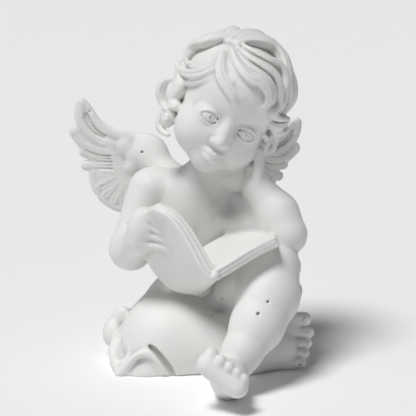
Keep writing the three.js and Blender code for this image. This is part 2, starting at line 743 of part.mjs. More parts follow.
function drapery() {
  const even = (girth) => (t) => girth * (0.75 + 0.25 * Math.sin(Math.PI * t));
  const hem = strand(HEM_PATH, even(2.2), 14, 0);
  const arch = strand(ARCH_PATH, even(2), 16, 0);
  const valley = strand(VALLEY_PATH, () => 3.2, 6, 0);
  const folds = [
    new RoundCone([-38.4, -3, 20.3], [-40.6, -1.5, 15.5], 2.9, 4),
    new RoundCone([-38.4, -2, 18], [-33, 4, 15], 3.4, 5),
    new Lobe([-43, -3, 10.6], [4.6, 6.4, 6.6]),
    new Lobe([-38, 0, 5], [6, 8, 7]),
  ];
  for (let i = 0; i < BACK_FOLDS; i++) {
    const path = [
      [-38, 8, 4 + 3 * i],
      [-24, 24 - i, 2 + 5 * i],
      [2, 32 - 2 * i, 3 + 7 * i],
      [24, 22 - i, 8 + 8 * i],
      [33, 6, 12 + 9 * i],
    ];
    folds.push(strand(path, even(4), 8, 0));
  }
  const front = new Blend(1.6, [
    new Lobe([-34.5, -13, 2], [9.5, 17, 14.5]),
    new Lobe([-27.5, -24.5, 0], [10.5, 8.4, 9.6]),
    new Lobe([-34, -22, 0], [8, 9.5, 9]),
  ]);
  const side = new Blend(0.9, [new Hollowed(1.6, front, [valley]), hem, arch]);
  return new Blend(2, [
    side,
    new Lobe([0, 12, 12], [36, 20, 20]),
    new Lobe([29, 3, 30], [9, 11, 16]),
    strand([[26, 16, 40], [34, 7, 43], [37.3, -2, 41], [34, -8, 37]], even(4.6), 7, 0),
    strand([[28, 16, 27], [35, 7, 29], [37.4, -2, 29.5], [34, -9, 27]], even(5.2), 7, 0),
    ...folds,
  ]);
}

function cherub() {
  const body = new Blend(BLEND_LIMB, [trunk(), rightLeg(), leftLeg(), face()]);
  return new Blend(BLEND_CREASE, [
    body,
    new Blend(BLEND_HAND, [rightArm(), rightHand()]),
    new Blend(BLEND_HAND, [leftArm(), leftHand()]),
    leftFoot(),
    rightFoot(),
    ears(),
    hair(),
    wings(),
    book(),
    drapery(),
  ]);
}

// Skin: the field's zero surface. Blocks that the surface can't pass are filled with one value, and the
// others are halved, with only the fields that matter there, down to a few cells a side.
const COARSE_BLOCK = 32;
const FINE_BLOCK = 4;
const CORNERS = [[0, 0, 0], [1, 0, 0], [1, 1, 0], [0, 1, 0], [0, 0, 1], [1, 0, 1], [1, 1, 1], [0, 1, 1]];
const EDGES = [
  [0, 1], [1, 2], [3, 2], [0, 3], [4, 5], [5, 6], [7, 6], [4, 7], [0, 4], [1, 5], [2, 6], [3, 7],
];

class Samples {
  constructor(low, high, cell) {
    this.low = low;
    this.cell = cell;
    this.blocks = low.map((v, i) => Math.ceil((high[i] - v) / cell / COARSE_BLOCK));
    this.size = this.blocks.map((count) => count * COARSE_BLOCK + 1);
    this.values = new Float32Array(this.size[0] * this.size[1] * this.size[2]).fill(1);
    this.live = [];
  }

  index(i, j, k) {
    return (k * this.size[1] + j) * this.size[0] + i;
  }

  place(i, axis) {
    return this.low[axis] + i * this.cell;
  }

  take(field) {
    for (let k = 0; k < this.blocks[2]; k++) {
      for (let j = 0; j < this.blocks[1]; j++) {
        for (let i = 0; i < this.blocks[0]; i++) {
          this.takeBlock(field, [i, j, k].map((v) => v * COARSE_BLOCK), COARSE_BLOCK);
        }
      }
    }
  }

  takeBlock(field, corner, span) {
    const centre = corner.map((v, axis) => this.place(v + span / 2, axis));
    const ball = (Math.sqrt(3) / 2) * span * this.cell;
    const d = field.distance(...centre);
    if (Math.abs(d) > 1.25 * ball + 0.5) {
      if (d < 0) this.fill(corner, span);
      return;
    }
    const local = field.near(...centre, ball);
    if (span > FINE_BLOCK) {
      const half = span / 2;
      for (const offset of CORNERS) {
        this.takeBlock(local, corner.map((v, axis) => v + offset[axis] * half), half);
      }
      return;
    }
    this.live.push(corner);
    for (let c = corner[2]; c <= corner[2] + span; c++) {
      const z = this.place(c, 2);
      for (let b = corner[1]; b <= corner[1] + span; b++) {
        const y = this.place(b, 1);
        for (let a = corner[0]; a <= corner[0] + span; a++) {
          this.values[this.index(a, b, c)] = local.distance(this.place(a, 0), y, z) || 1e-6;
        }
      }
    }
  }

  // Marks a block as inside, but for its faces, which its neighbours may hold true values for.
  fill(corner, span) {
    for (let c = corner[2]; c <= corner[2] + span; c++) {
      for (let b = corner[1]; b <= corner[1] + span; b++) {
        for (let a = corner[0]; a <= corner[0] + span; a++) {
          const place = this.index(a, b, c);
          if (this.values[place] === 1) this.values[place] = -1;
        }
      }
    }
  }

  // The triangles of the zero surface, with shared vertices.
  surface() {
    const vertices = [];
    const faces = [];
    const known = new Map();
    const steps = [1, this.size[0], this.size[0] * this.size[1]];
    const vertexOn = (i, j, k, edge) => {
      const [from, to] = EDGES[edge].map((corner) => CORNERS[corner]);
      const axis = from.findIndex((v, n) => v !== to[n]);
      const start = this.index(i + from[0], j + from[1], k + from[2]);
      const key = start * 3 + axis;
      let vertex = known.get(key);
      if (vertex === undefined) {
        const inside = this.values[start];
        const share = inside / (inside - this.values[start + steps[axis]]);
        const place = [i + from[0], j + from[1], k + from[2]];
        place[axis] += share;
        vertex = vertices.length / 3;
        vertices.push(...place.map((v, n) => this.place(v, n)));
        known.set(key, vertex);
      }
      return vertex;
    };
    const cornerSteps = CORNERS.map((o) => o[0] * steps[0] + o[1] * steps[1] + o[2] * steps[2]);
    for (const [bi, bj, bk] of this.live) {
      for (let k = bk; k < bk + FINE_BLOCK; k++) {
        for (let j = bj; j < bj + FINE_BLOCK; j++) {
          for (let i = bi; i < bi + FINE_BLOCK; i++) {
            const base = this.index(i, j, k);
            let code = 0;
            for (let n = 0; n < 8; n++) if (this.values[base + cornerSteps[n]] < 0) code |= 1 << n;
            if (edgeTable[code] === 0) continue;
            for (let n = code * 16; triTable[n] !== -1; n += 3) {
              faces.push(
                vertexOn(i, j, k, triTable[n]),
                vertexOn(i, j, k, triTable[n + 2]),
                vertexOn(i, j, k, triTable[n + 1]),
              );
            }
          }
        }
      }
    }
    return { vertices, faces };
  }
}

// A heap of entries in order of cost.
class Heap {
  constructor() {
    this.entries = [];
  }

  push(entry) {
    const list = this.entries;
    let at = list.push(entry) - 1;
    while (at > 0) {
      const parent = (at - 1) >> 1;
      if (list[parent].cost <= entry.cost) break;
      list[at] = list[parent];
      at = parent;
    }
    list[at] = entry;
  }

  pop() {
    const list = this.entries;
    const top = list[0];
    const last = list.pop();
    if (list.length === 0) return top;
    let at = 0;
    for (;;) {
      let child = 2 * at + 1;
      if (child >= list.length) break;
      if (child + 1 < list.length && list[child + 1].cost < list[child].cost) child++;
      if (list[child].cost >= last.cost) break;
      list[at] = list[child];
      at = child;
    }
    list[at] = last;
    return top;
  }
}

// Thins the skin out: the edge whose loss changes the shape least goes first, measured by the squared
// distances to the planes of the faces that it stands for.
class Thinner {
  constructor({ vertices, faces }, weightAt) {
    this.points = Float64Array.from(vertices);
    this.faces = Int32Array.from(faces);
    this.left = faces.length / 3;
    const count = vertices.length / 3;
    this.rings = Array.from({ length: count }, () => []);
    this.planes = new Float64Array(count * 10);
    this.version = new Int32Array(count);
    this.heap = new Heap();
    for (let f = 0; f < this.left; f++) {
      const corners = [0, 1, 2].map((n) => this.faces[3 * f + n]);
      const [nx, ny, nz, area] = this.normal(corners);
      const centre = this.place(corners[0]);
      const d = -(nx * centre[0] + ny * centre[1] + nz * centre[2]);
      const weight = area * weightAt(...centre);
      const plane = [nx, ny, nz, d];
      for (const corner of corners) {
        this.rings[corner].push(f);
        let at = corner * 10;
        for (let i = 0; i < 4; i++) {
          for (let j = i; j < 4; j++) this.planes[at++] += plane[i] * plane[j] * weight;
        }
      }
    }
    for (let f = 0; f < this.left; f++) {
      for (let n = 0; n < 3; n++) {
        const [a, b] = [this.faces[3 * f + n], this.faces[3 * f + ((n + 1) % 3)]];
        if (a < b) this.offer(a, b);
      }
    }
  }

  place(vertex) {
    return [this.points[3 * vertex], this.points[3 * vertex + 1], this.points[3 * vertex + 2]];
  }

  // Unit normal and area of a face, which may have one corner moved.
  normal([a, b, c], moved = -1, to = null) {
    const [p, q, r] = [a, b, c].map((corner) => (corner === moved ? to : this.place(corner)));
    const [ux, uy, uz] = [q[0] - p[0], q[1] - p[1], q[2] - p[2]];
    const [vx, vy, vz] = [r[0] - p[0], r[1] - p[1], r[2] - p[2]];
    const n = [uy * vz - uz * vy, uz * vx - ux * vz, ux * vy - uy * vx];
    const size = Math.hypot(...n) || 1e-12;
    return [n[0] / size, n[1] / size, n[2] / size, size / 2];
  }

  offer(a, b) {
    const q = new Float64Array(10);
    for (let i = 0; i < 10; i++) q[i] = this.planes[a * 10 + i] + this.planes[b * 10 + i];
    const [start, end] = [this.place(a), this.place(b)];
    const middle = start.map((v, i) => (v + end[i]) / 2);
    const choices = [start, end, middle];
    const best = Thinner.lowest(q);
    const length = Math.hypot(...end.map((v, i) => v - start[i]));
    if (best && Math.hypot(...best.map((v, i) => v - middle[i])) < 2 * length) choices.push(best);
    const costs = choices.map((p) => Thinner.miss(q, p));
    const cost = Math.min(...costs);
    const to = choices[costs.indexOf(cost)];
    this.heap.push({ cost, a, b, to, versions: [this.version[a], this.version[b]] });
  }

  static miss(q, [x, y, z]) {
    return (
      q[0] * x * x + 2 * q[1] * x * y + 2 * q[2] * x * z + 2 * q[3] * x +
      q[4] * y * y + 2 * q[5] * y * z + 2 * q[6] * y +
      q[7] * z * z + 2 * q[8] * z + q[9]
    );
  }

  // The point that misses the planes least, if there is one.
  static lowest(q) {
    const m = new THREE.Matrix3(q[0], q[1], q[2], q[1], q[4], q[5], q[2], q[5], q[7]);
    const size = q[0] + q[4] + q[7];
    if (Math.abs(m.determinant()) < 1e-5 * size ** 3) return null;
    return new THREE.Vector3(-q[3], -q[6], -q[8]).applyMatrix3(m.invert()).toArray();
  }

  corners(face) {
    return [this.faces[3 * face], this.faces[3 * face + 1], this.faces[3 * face + 2]];
  }

  neighbours(vertex) {
    return new Set(this.rings[vertex].flatMap((face) => this.corners(face)).filter((v) => v !== vertex));
  }

  // Whether the edge can go without turning a face over or pinching the skin.
  allowed(a, b, to) {
    const others = this.neighbours(b);
    let shared = 0;
    for (const v of this.neighbours(a)) if (others.has(v)) shared++;
    if (shared !== 2) return false;
    for (const [moved, gone] of [[a, b], [b, a]]) {
      for (const face of this.rings[moved]) {
        const corners = this.corners(face);
        if (corners.includes(gone)) continue;
        const before = this.normal(corners);
        const after = this.normal(corners, moved, to);
        if (after[3] < 1e-4) return false;
        if (before[0] * after[0] + before[1] * after[1] + before[2] * after[2] < 0.3) return false;
      }
    }
    return true;
  }

  run(target) {
    while (this.left > target && this.heap.entries.length) {
      const { a, b, to, versions } = this.heap.pop();
      if (this.version[a] !== versions[0] || this.version[b] !== versions[1]) continue;
      if (!this.allowed(a, b, to)) continue;
      for (let i = 0; i < 3; i++) this.points[3 * a + i] = to[i];
      for (let i = 0; i < 10; i++) this.planes[a * 10 + i] += this.planes[b * 10 + i];
      for (const face of this.rings[b]) {
        const corners = this.corners(face);
        if (corners.includes(a)) {
          for (const corner of corners) {
            if (corner !== b) this.rings[corner] = this.rings[corner].filter((f) => f !== face);
          }
          this.faces[3 * face] = -1;
          this.left--;
        } else {
          this.faces[3 * face + corners.indexOf(b)] = a;
          this.rings[a].push(face);
        }
      }
      this.rings[b] = [];
      this.version[a]++;
      this.version[b] = -1;
      for (const v of this.neighbours(a)) this.offer(a, v);
    }
    return this.kept();
  }

  kept() {
    const number = new Map();
    const vertices = [];
    const faces = [];
    for (let f = 0; f < this.faces.length / 3; f++) {
      if (this.faces[3 * f] < 0) continue;
      for (const corner of this.corners(f)) {
        if (!number.has(corner)) {
          number.set(corner, vertices.length / 3);
          vertices.push(...this.place(corner));
        }
        faces.push(number.get(corner));
      }
    }
    return { vertices, faces };
  }
}

// The field above the floor that the casting stands on.
class Standing extends Field {
  constructor(body, floor) {
    super();
    this.body = body;
    this.floor = floor;
  }

  distance(x, y, z) {
    return Math.max(this.body.distance(x, y, z), this.floor - z);
  }

  near(x, y, z, ball) {
    return new Standing(this.body.near(x, y, z, ball), this.floor);
  }
}

function skin(field, low, high, cell) {
  const samples = new Samples(low, high, cell);
  samples.take(field);
  return samples.surface();
}

const wasm = await Module();
wasm.setup();

function solid({ vertices, faces }) {
  return new wasm.Manifold(
    new wasm.Mesh({
      numProp: 3,
      vertProperties: Float32Array.from(vertices),
      triVerts: Uint32Array.from(faces),
    }),
  );
}

function solidOf(geometry) {
  const merged = mergeVertices(geometry.clone().deleteAttribute("normal").deleteAttribute("uv"));
  return solid({ vertices: merged.getAttribute("position").array, faces: merged.index.array });
}

// How much more a millimetre of detail counts on the head, the hands, the feet and the book.
const SHOULDER_LEVEL = 90;
const BOOK_BACK = -24;
const FEET_SIDE = 40;

function careAt(x, y, z) {
  return z > SHOULDER_LEVEL || y < BOOK_BACK || x > FEET_SIDE ? DETAIL_CARE : 1;
}

function casting() {
  const rough = skin(new Standing(cherub(), -FLOOR_ALLOWANCE), SKIN_LOW, SKIN_HIGH, SKIN_CELL);
  const thinned = new Thinner(rough, careAt).run(SKIN_FACES);
  const ground = new THREE.BoxGeometry(GROUND_WIDTH, GROUND_WIDTH, GROUND_DEPTH);
  ground.translate(0, 0, -GROUND_DEPTH / 2);
  const stood = solid(thinned).subtract(solidOf(ground)).decompose();
  const whole = stood.reduce((a, b) => (a.volume() > b.volume() ? a : b));
  const mesh = whole.getMesh();
  const geometry = new THREE.BufferGeometry()
    .setAttribute("position", new THREE.Float32BufferAttribute(mesh.vertProperties, 3))
    .setIndex(new THREE.BufferAttribute(mesh.triVerts, 1));
  geometry.computeBoundingBox();
  const centre = geometry.boundingBox.getCenter(new THREE.Vector3());
  geometry.translate(-centre.x, -centre.y, 0);
  geometry.computeVertexNormals();
  return geometry;
}

const group = new THREE.Group();
const plaster = new THREE.MeshStandardMaterial({ color: 0xe6e5e1, roughness: 0.6, metalness: 0 });
const cherubMesh = new THREE.Mesh(casting(), plaster);
cherubMesh.name = "reading_cherub";
group.add(cherubMesh);

export default group;
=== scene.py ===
"""Reading cherub: a small white casting of a seated, winged child that reads an open book.

The casting is one closed mesh. It is drawn through a field of signed distances, in
millimetres and in the sculptor's axes: +X towards the cherub's left, -Y ahead of it and
+Z up, with the floor at zero. Right and left are the cherub's own.
"""

import json
import logging
import math
from dataclasses import dataclass
from enum import Enum
from typing import Callable, Iterable, Sequence

import bpy
import numpy as np
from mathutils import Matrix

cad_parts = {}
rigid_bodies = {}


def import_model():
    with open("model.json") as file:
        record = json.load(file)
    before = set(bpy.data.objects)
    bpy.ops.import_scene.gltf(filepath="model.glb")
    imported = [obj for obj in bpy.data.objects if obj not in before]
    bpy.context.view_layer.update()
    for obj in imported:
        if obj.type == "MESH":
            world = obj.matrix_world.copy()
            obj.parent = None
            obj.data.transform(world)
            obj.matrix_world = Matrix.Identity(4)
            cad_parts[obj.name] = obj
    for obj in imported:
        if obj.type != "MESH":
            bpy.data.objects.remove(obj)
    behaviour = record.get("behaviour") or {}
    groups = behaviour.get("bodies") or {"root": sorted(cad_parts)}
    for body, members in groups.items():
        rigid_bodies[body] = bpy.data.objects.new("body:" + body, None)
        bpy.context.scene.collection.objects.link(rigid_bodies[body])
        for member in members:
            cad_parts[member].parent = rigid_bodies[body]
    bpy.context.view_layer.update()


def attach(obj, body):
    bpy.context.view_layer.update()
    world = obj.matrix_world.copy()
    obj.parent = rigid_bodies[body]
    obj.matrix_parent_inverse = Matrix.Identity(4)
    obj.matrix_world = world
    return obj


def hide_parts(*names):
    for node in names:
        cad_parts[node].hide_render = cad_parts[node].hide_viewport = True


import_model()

import openvdb as vdb
from mathutils import Vector

LOG = logging.getLogger("reading_cherub")
MM = 0.001
NODE = "reading_cherub"
SLOT = "plaster"

Array = np.ndarray
Place = Sequence[float]
# How many radii of a ball a part may lie beyond the nearest one and still matter inside it
REACH = 2.3
# The same for the pieces of one strand or sheet, whose distances are exact
SHORT_REACH = 2.05
HALVES = np.array(list(np.ndindex(2, 2, 2)))  # the eight halves of a block
TOUCH = 1e-6  # spheres this close to one inside the other make one sphere
TINY = 1e-9  # keeps a division from running into zero
TINIEST = 1e-12  # the same, where the divisor is itself small
STEP = 1e-3  # the share of a path over which its direction is measured
ROUNDS = 4  # rounds that find the nearest place on a ruled leaf
END_SHARE = 0.75  # how thick the ends of a fold are, as a share of its middle


class Side(Enum):
    """One of the cherub's own sides, with the way it lies along X."""

    RIGHT = -1
    LEFT = 1


# Fields


class Field:
    """A signed distance in millimetres, below zero inside."""

    def distance(self, points: Array) -> Array:
        """Measures the distance at each point, one a row."""
        raise NotImplementedError

    def split(self, centres: Array, ball: float) -> tuple[Array, list["Field"]]:
        """Measures the field in the middle of several balls, with a field that serves in each."""
        return self.distance(centres), [self] * len(centres)


class Union(Field):
    """The union of many pieces of one kind, of which only the nearest one matters."""

    def each(self, points: Array) -> Array:
        """Measures every piece at every point, as one column for each piece."""
        raise NotImplementedError

    def picked(self, row: Array) -> "Union":
        """Keeps the pieces that are marked in a row."""
        raise NotImplementedError

    def distance(self, points: Array) -> Array:
        """Measures the distance to the nearest piece."""
        return self.each(points).min(axis=1)

    def split(self, centres: Array, ball: float) -> tuple[Array, list[Field]]:
        """Keeps the pieces that can be the nearest one inside each ball.

        Args:
            centres: the middle of each ball, one a row.
            ball: the radius of all of them.

        Returns:
            The distance at each middle, and a field for each ball.
        """
        apart = self.each(centres)
        nearest = apart.min(axis=1)
        kept = apart <= (nearest + SHORT_REACH * ball)[:, None]
        return nearest, [self if row.all() else self.picked(row) for row in kept]


def smooth_min(first: Array, second: Array, radius: float) -> Array:
    """Joins two distances with a hollow of the given radius.

    Args:
        first: distances to one body.
        second: distances to the other.
        radius: the reach of the hollow.

    Returns:
        The distances to the joined body.
    """
    lower = np.minimum(first, second)
    if radius == 0:
        return lower
    overlap = np.maximum(radius - np.abs(first - second), 0)
    return lower - overlap * overlap / (4 * radius)


class Cones(Union):
    """The union of rounded cones, each of which touches two spheres."""

    def __init__(self, starts: Array, ends: Array, start_radii: Array, end_radii: Array) -> None:
        """Takes one row, or one radius, for each cone.

        Args:
            starts: the middles of the first spheres.
            ends: the middles of the last spheres.
            start_radii: the radii of the first spheres.
            end_radii: the radii of the last spheres.
        """
        starts = np.array(starts, float).reshape(-1, 3)
        ends = np.array(ends, float).reshape(-1, 3)
        first = np.array(start_radii, float).reshape(-1)
        last = np.array(end_radii, float).reshape(-1)
        apart = np.linalg.norm(ends - starts, axis=1)
        swallowed = apart <= np.abs(first - last) + TOUCH
        bigger_end = swallowed & (last > first)
        starts[bigger_end] = ends[bigger_end]
        first = np.where(swallowed, np.maximum(first, last), first)
        last = np.where(swallowed, first, last)
        length = np.where(swallowed, 0.0, apart)
        safe = np.where(swallowed, 1.0, apart)
        ways = (ends - starts) / safe[:, None] * (~swallowed)[:, None]
        self.rows = np.column_stack([starts, ways, length, first, (first - last) / safe])

    @classmethod
    def from_rows(cls, rows: Array) -> "Cones":
        """Makes a set of cones from rows that another set holds.

        Args:
            rows: start, direction, length, first radius and slope, one cone a row.

        Returns:
            The set.
        """
        made = cls.__new__(cls)
        made.rows = rows
        return made

    def picked(self, row: Array) -> "Cones":
        """Keeps the cones that are marked in a row."""
        return Cones.from_rows(self.rows[row])

    def each(self, points: Array) -> Array:
        """Measures every cone at every point.

        Args:
            points: one point a row.

        Returns:
            The distances, as one column for each cone.
        """
        start, unit = self.rows[:, 0:3], self.rows[:, 3:6]
        length, first, slope = self.rows[:, 6], self.rows[:, 7], self.rows[:, 8]
        along = points @ unit.T - (start * unit).sum(1)
        square = (points * points).sum(1)[:, None] - 2 * points @ start.T + (start * start).sum(1)
        aside = np.sqrt(np.maximum(square - along * along, 0))
        at = np.clip(along - aside * (slope / np.sqrt(1 - slope * slope)), 0, length)
        return np.hypot(along - at, aside) - first + slope * at

    @classmethod
    def joined(cls, sets: Sequence["Cones"]) -> "Cones":
        """Makes one set of several."""
        return cls.from_rows(np.vstack([one.rows for one in sets]))


class Lobe(Field):
    """An ellipsoid, turned to the given axes."""

    def __init__(self, centre: Place, radii: Place, axes: Array | None = None) -> None:
        """Takes the ellipsoid's sizes.

        Args:
            centre: its middle.
            radii: its radius along each axis.
            axes: the axes as rows, or None where they are the sculptor's.
        """
        self.centre = np.array(centre, float)
        self.radii = np.array(radii, float)
        turned = np.eye(3) if axes is None else np.array(axes, float)
        self.shares = (turned / self.radii[:, None]).T
        self.thinnest = self.radii.min()

    def distance(self, points: Array) -> Array:
        """Measures the distance to the ellipsoid, near enough for a skin.

        Args:
            points: one point a row.

        Returns:
            One distance for each point.
        """
        share = (points - self.centre) @ self.shares
        near = np.sqrt((share * share).sum(1))
        steep = np.sqrt(((share / self.radii) ** 2).sum(1)) + TINIEST
        return np.where(near < 1, (near - 1) * self.thinnest, near * (near - 1) / steep)


class Leaves(Union):
    """Sheets of even thickness, each ruled between a near and a far edge."""

    def __init__(self, corners: Array, thickness: float) -> None:
        """Takes four corners a leaf: near start, near end, far start and far end."""
        self.corners = np.array(corners, float).reshape(-1, 4, 3)
        self.half = thickness / 2

    def picked(self, row: Array) -> "Leaves":
        """Keeps the leaves that are marked in a row."""
        return Leaves(self.corners[row], self.half * 2)

    def each(self, points: Array) -> Array:
        """Measures every leaf at every point.

        Args:
            points: one point a row.

        Returns:
            The distances, as one column for each leaf.
        """
        near_start, near_end, far_start, far_end = (self.corners[None, :, k] for k in range(4))
        place = points[:, None]
        depth = np.full((len(points), len(self.corners)), 0.5)
        for _ in range(ROUNDS):
            turn = self._share(place, near_start, far_start, near_end, far_end, depth)
            depth = self._share(place, near_start, near_end, far_start, far_end, turn)
        t, d = turn[..., None], depth[..., None]
        near = near_start * (1 - t) + near_end * t
        far = far_start * (1 - t) + far_end * t
        return np.linalg.norm(place - near * (1 - d) - far * d, axis=2) - self.half

    @staticmethod
    def _share(place: Array, a: Array, b: Array, c: Array, d: Array, at: Array) -> Array:
        """Finds how far places lie on the way from one line to another, at one share of both.

        Args:
            place: the places.
            a: the start of the first line.
            b: its end.
            c: the start of the other line.
            d: its end.
            at: the share of both lines.

        Returns:
            The shares of the way.
        """
        start = a + (b - a) * at[..., None]
        way = c + (d - c) * at[..., None] - start
        share = ((place - start) * way).sum(2) / np.maximum((way * way).sum(2), TINY)
        return np.clip(share, 0, 1)


class Flat(Field):
    """A field drawn in axes of its own and squashed along the third of them."""

    def __init__(self, axes: "Axes", squash: float, shape: Field) -> None:
        """Takes the shape and its axes.

        Args:
            axes: the axes that the shape is drawn in.
            squash: how many times thinner it is along the third axis.
            shape: the shape.
        """
        self.axes = axes
        self.squash = squash
        self.shape = shape

    def _inside(self, points: Array) -> Array:
        """Turns points into the shape's own axes.

        Args:
            points: one point a row.

        Returns:
            The points, stretched along the third axis.
        """
        seen = self.axes.seen(points)
        seen[:, 2] *= self.squash
        return seen

    def distance(self, points: Array) -> Array:
        """Measures the distance, made small enough for the squashed axis."""
        return self.shape.distance(self._inside(points)) / self.squash

    def split(self, centres: Array, ball: float) -> tuple[Array, list[Field]]:
        """Keeps what matters inside each ball."""
        apart, kept = self.shape.split(self._inside(centres), ball * self.squash)
        return apart / self.squash, [Flat(self.axes, self.squash, one) for one in kept]


class Blend(Field):
    """Several fields that run into each other with a hollow of the given radius."""

    def __init__(self, radius: float, parts: Sequence[Field]) -> None:
        """Takes the radius of the hollow and the parts."""
        self.radius = radius
        self.parts = list(parts)

    def distance(self, points: Array) -> Array:
        """Joins the distances to the parts, one after the other.

        Args:
            points: one point a row.

        Returns:
            One distance for each point.
        """
        joined = self.parts[0].distance(points)
        for part in self.parts[1:]:
            joined = smooth_min(joined, part.distance(points), self.radius)
        return joined

    def split(self, centres: Array, ball: float) -> tuple[Array, list[Field]]:
        """Keeps the parts that can shape the surface inside each ball.

        Args:
            centres: the middle of each ball, one a row.
            ball: the radius of all of them.

        Returns:
            The distance at each middle, and a field for each ball.
        """
        pairs = [part.split(centres, ball) for part in self.parts]
        joined = nearest = pairs[0][0]
        for apart, _ in pairs[1:]:
            nearest = np.minimum(nearest, apart)
            joined = smooth_min(joined, apart, self.radius)
        limit = nearest + REACH * ball + self.radius
        fields: list[Field] = []
        for row in range(len(centres)):
            kept = [local[row] for apart, local in pairs if apart[row] <= limit[row]]
            fields.append(kept[0] if len(kept) == 1 else Blend(self.radius, kept))
        return joined, fields


class Hollowed(Field):
    """A body with hollows pressed into it."""

    def __init__(self, radius: float, body: Field, hollows: Sequence[Field]) -> None:
        """Takes the body and the hollows.

        Args:
            radius: the softness of the hollows' edges.
            body: the body.
            hollows: what is taken out of it.
        """
        self.radius = radius
        self.body = body
        self.hollows = list(hollows)

    def distance(self, points: Array) -> Array:
        """Takes the hollows out of the body, one after the other.

        Args:
            points: one point a row.

        Returns:
            One distance for each point.
        """
        left = self.body.distance(points)
        for hollow in self.hollows:
            left = -smooth_min(-left, hollow.distance(points), self.radius)
        return left

    def split(self, centres: Array, ball: float) -> tuple[Array, list[Field]]:
        """Keeps the hollows that reach the surface inside each ball.

        Args:
            centres: the middle of each ball, one a row.
            ball: the radius of all of them.

        Returns:
            The distance at each middle, and a field for each ball.
        """
        left, bodies = self.body.split(centres, ball)
        limit = REACH * ball + self.radius - left
        pairs = [hollow.split(centres, ball) for hollow in self.hollows]
        fields: list[Field] = []
        for row, body in enumerate(bodies):
            kept = [local[row] for apart, local in pairs if apart[row] <= limit[row]]
            fields.append(Hollowed(self.radius, body, kept) if kept else body)
        for apart, _ in pairs:
            left = -smooth_min(-left, apart, self.radius)
        return left, fields


class Standing(Field):
    """What is above the floor."""

    def __init__(self, body: Field) -> None:
        """Takes the body that stands on the floor."""
        self.body = body

    def distance(self, points: Array) -> Array:
        """Cuts the body off at the floor."""
        return np.maximum(self.body.distance(points), -points[:, 2])

    def split(self, centres: Array, ball: float) -> tuple[Array, list[Field]]:
        """Keeps what matters inside each ball."""
        apart, kept = self.body.split(centres, ball)
        return np.maximum(apart, -centres[:, 2]), [Standing(one) for one in kept]


# Helpers for places and directions


def unit(v: Place) -> Array:
    """Scales a direction to length one."""
    return np.array(v, float) / np.linalg.norm(v)


def cross(a: Place, b: Place) -> Array:
    """Finds the unit direction square to two others."""
    return unit(np.cross(a, b))


class Axes:
    """A set of axes with its own origin, in which a sub-assembly is laid out."""

    def __init__(self, origin: Place, across: Place, forward: Place, up: Place) -> None:
        """Takes the origin and the three unit directions."""
        self.origin = np.array(origin, float)
        self.rows = np.array([across, forward, up], float)

    def place(self, local: Place) -> Array:
        """Turns a place in these axes into one in the sculptor's axes."""
        return self.origin + np.array(local, float) @ self.rows

    def seen(self, points: Array) -> Array:
        """Turns points in the sculptor's axes into these axes."""
        return (points - self.origin) @ self.rows.T

    def lobe(self, centre: Place, radii: Place) -> Lobe:
        """Makes an ellipsoid along these axes."""
        return Lobe(self.place(centre), radii, self.rows)

    def limb(self, start: Place, end: Place, first: float, last: float | None = None) -> Cones:
        """Makes a rounded cone between two places in these axes."""
        return limb(self.place(start), self.place(end), first, last)


def limb(start: Place, end: Place, first: float, last: float | None = None) -> Cones:
    """Makes one rounded cone, with one radius or with a radius for each end."""
    return Cones([start], [end], [first], [first if last is None else last])


def limbs(rows: Iterable[tuple]) -> list[Cones]:
    """Makes a rounded cone of each row: start, end, and one radius or two."""
    return [limb(*row) for row in rows]


def mirrored(row: tuple, side: Side) -> list:
    """Takes a row of places and sizes, given for the left, to one side."""
    return [(v[0] * side.value, *v[1:]) if isinstance(v, tuple) else v for v in row]


def curve(points: Sequence[Place], shares: Array) -> Array:
    """Follows a smooth path through the points, with their spacing taken into account.

    Args:
        points: the places the path goes through.
        shares: shares of the way, counted in points.

    Returns:
        One place for each share.
    """
    p = np.array(points, float)
    full = np.vstack([2 * p[0] - p[1], p, 2 * p[-1] - p[-2]])
    at = np.asarray(shares, float) * (len(p) - 1)
    first = np.minimum(at.astype(int), len(p) - 2)
    weight = (at - first)[:, None]
    p0, p1, p2, p3 = (full[first + k] for k in range(4))
    before, here, after = (
        np.sqrt(np.linalg.norm(b - a, axis=1))[:, None] + TINY for a, b in ((p0, p1), (p1, p2), (p2, p3))
    )
    leave = ((p1 - p0) / before - (p2 - p0) / (before + here) + (p2 - p1) / here) * here
    reach = ((p2 - p1) / here - (p3 - p1) / (here + after) + (p3 - p2) / after) * here
    square = weight * weight
    cube = square * weight
    return (
        p1
        + leave * weight
        + (3 * (p2 - p1) - 2 * leave - reach) * square
        + (2 * (p1 - p2) + leave + reach) * cube
    )


def strand(points: Sequence[Place], girth: Callable[[Array], Array], pieces: int) -> Cones:
    """Makes a strand that follows a smooth path.

    Args:
        points: the places the path goes through.
        girth: the radius as a function of the share of the way.
        pieces: the number of cones.

    Returns:
        The strand, as one set of cones.
    """
    shares = np.linspace(0, 1, pieces + 1)
    places = curve(points, shares)
    radii = np.broadcast_to(girth(shares), shares.shape)
    return Cones(places[:-1], places[1:], radii[:-1], radii[1:])


def steady(girth: float) -> Callable[[Array], Array]:
    """Makes a girth that is the same all along a strand."""
    return lambda t: girth + 0 * t


def swelling(girth: float, ends: float) -> Callable[[Array], Array]:
    """Makes a girth that is full in the middle, and the given share of it at both ends."""
    return lambda t: girth * (ends + (1 - ends) * np.sin(math.pi * t))


def tapered(girth: float, end: float) -> Callable[[Array], Array]:
    """Makes a girth that shrinks evenly to the given share at the end."""
    return lambda t: girth * (1 - (1 - end) * t)


# The figure


@dataclass(frozen=True)
class Softness:
    """The radii of the hollows where one mass runs into the next, in millimetres."""

    body: float = 7
    limb: float = 4
    ankle: float = 3
    hand: float = 1.2
    hair: float = 0.9
    crease: float = 1.6
    groove: float = 1.0


SOFT = Softness()


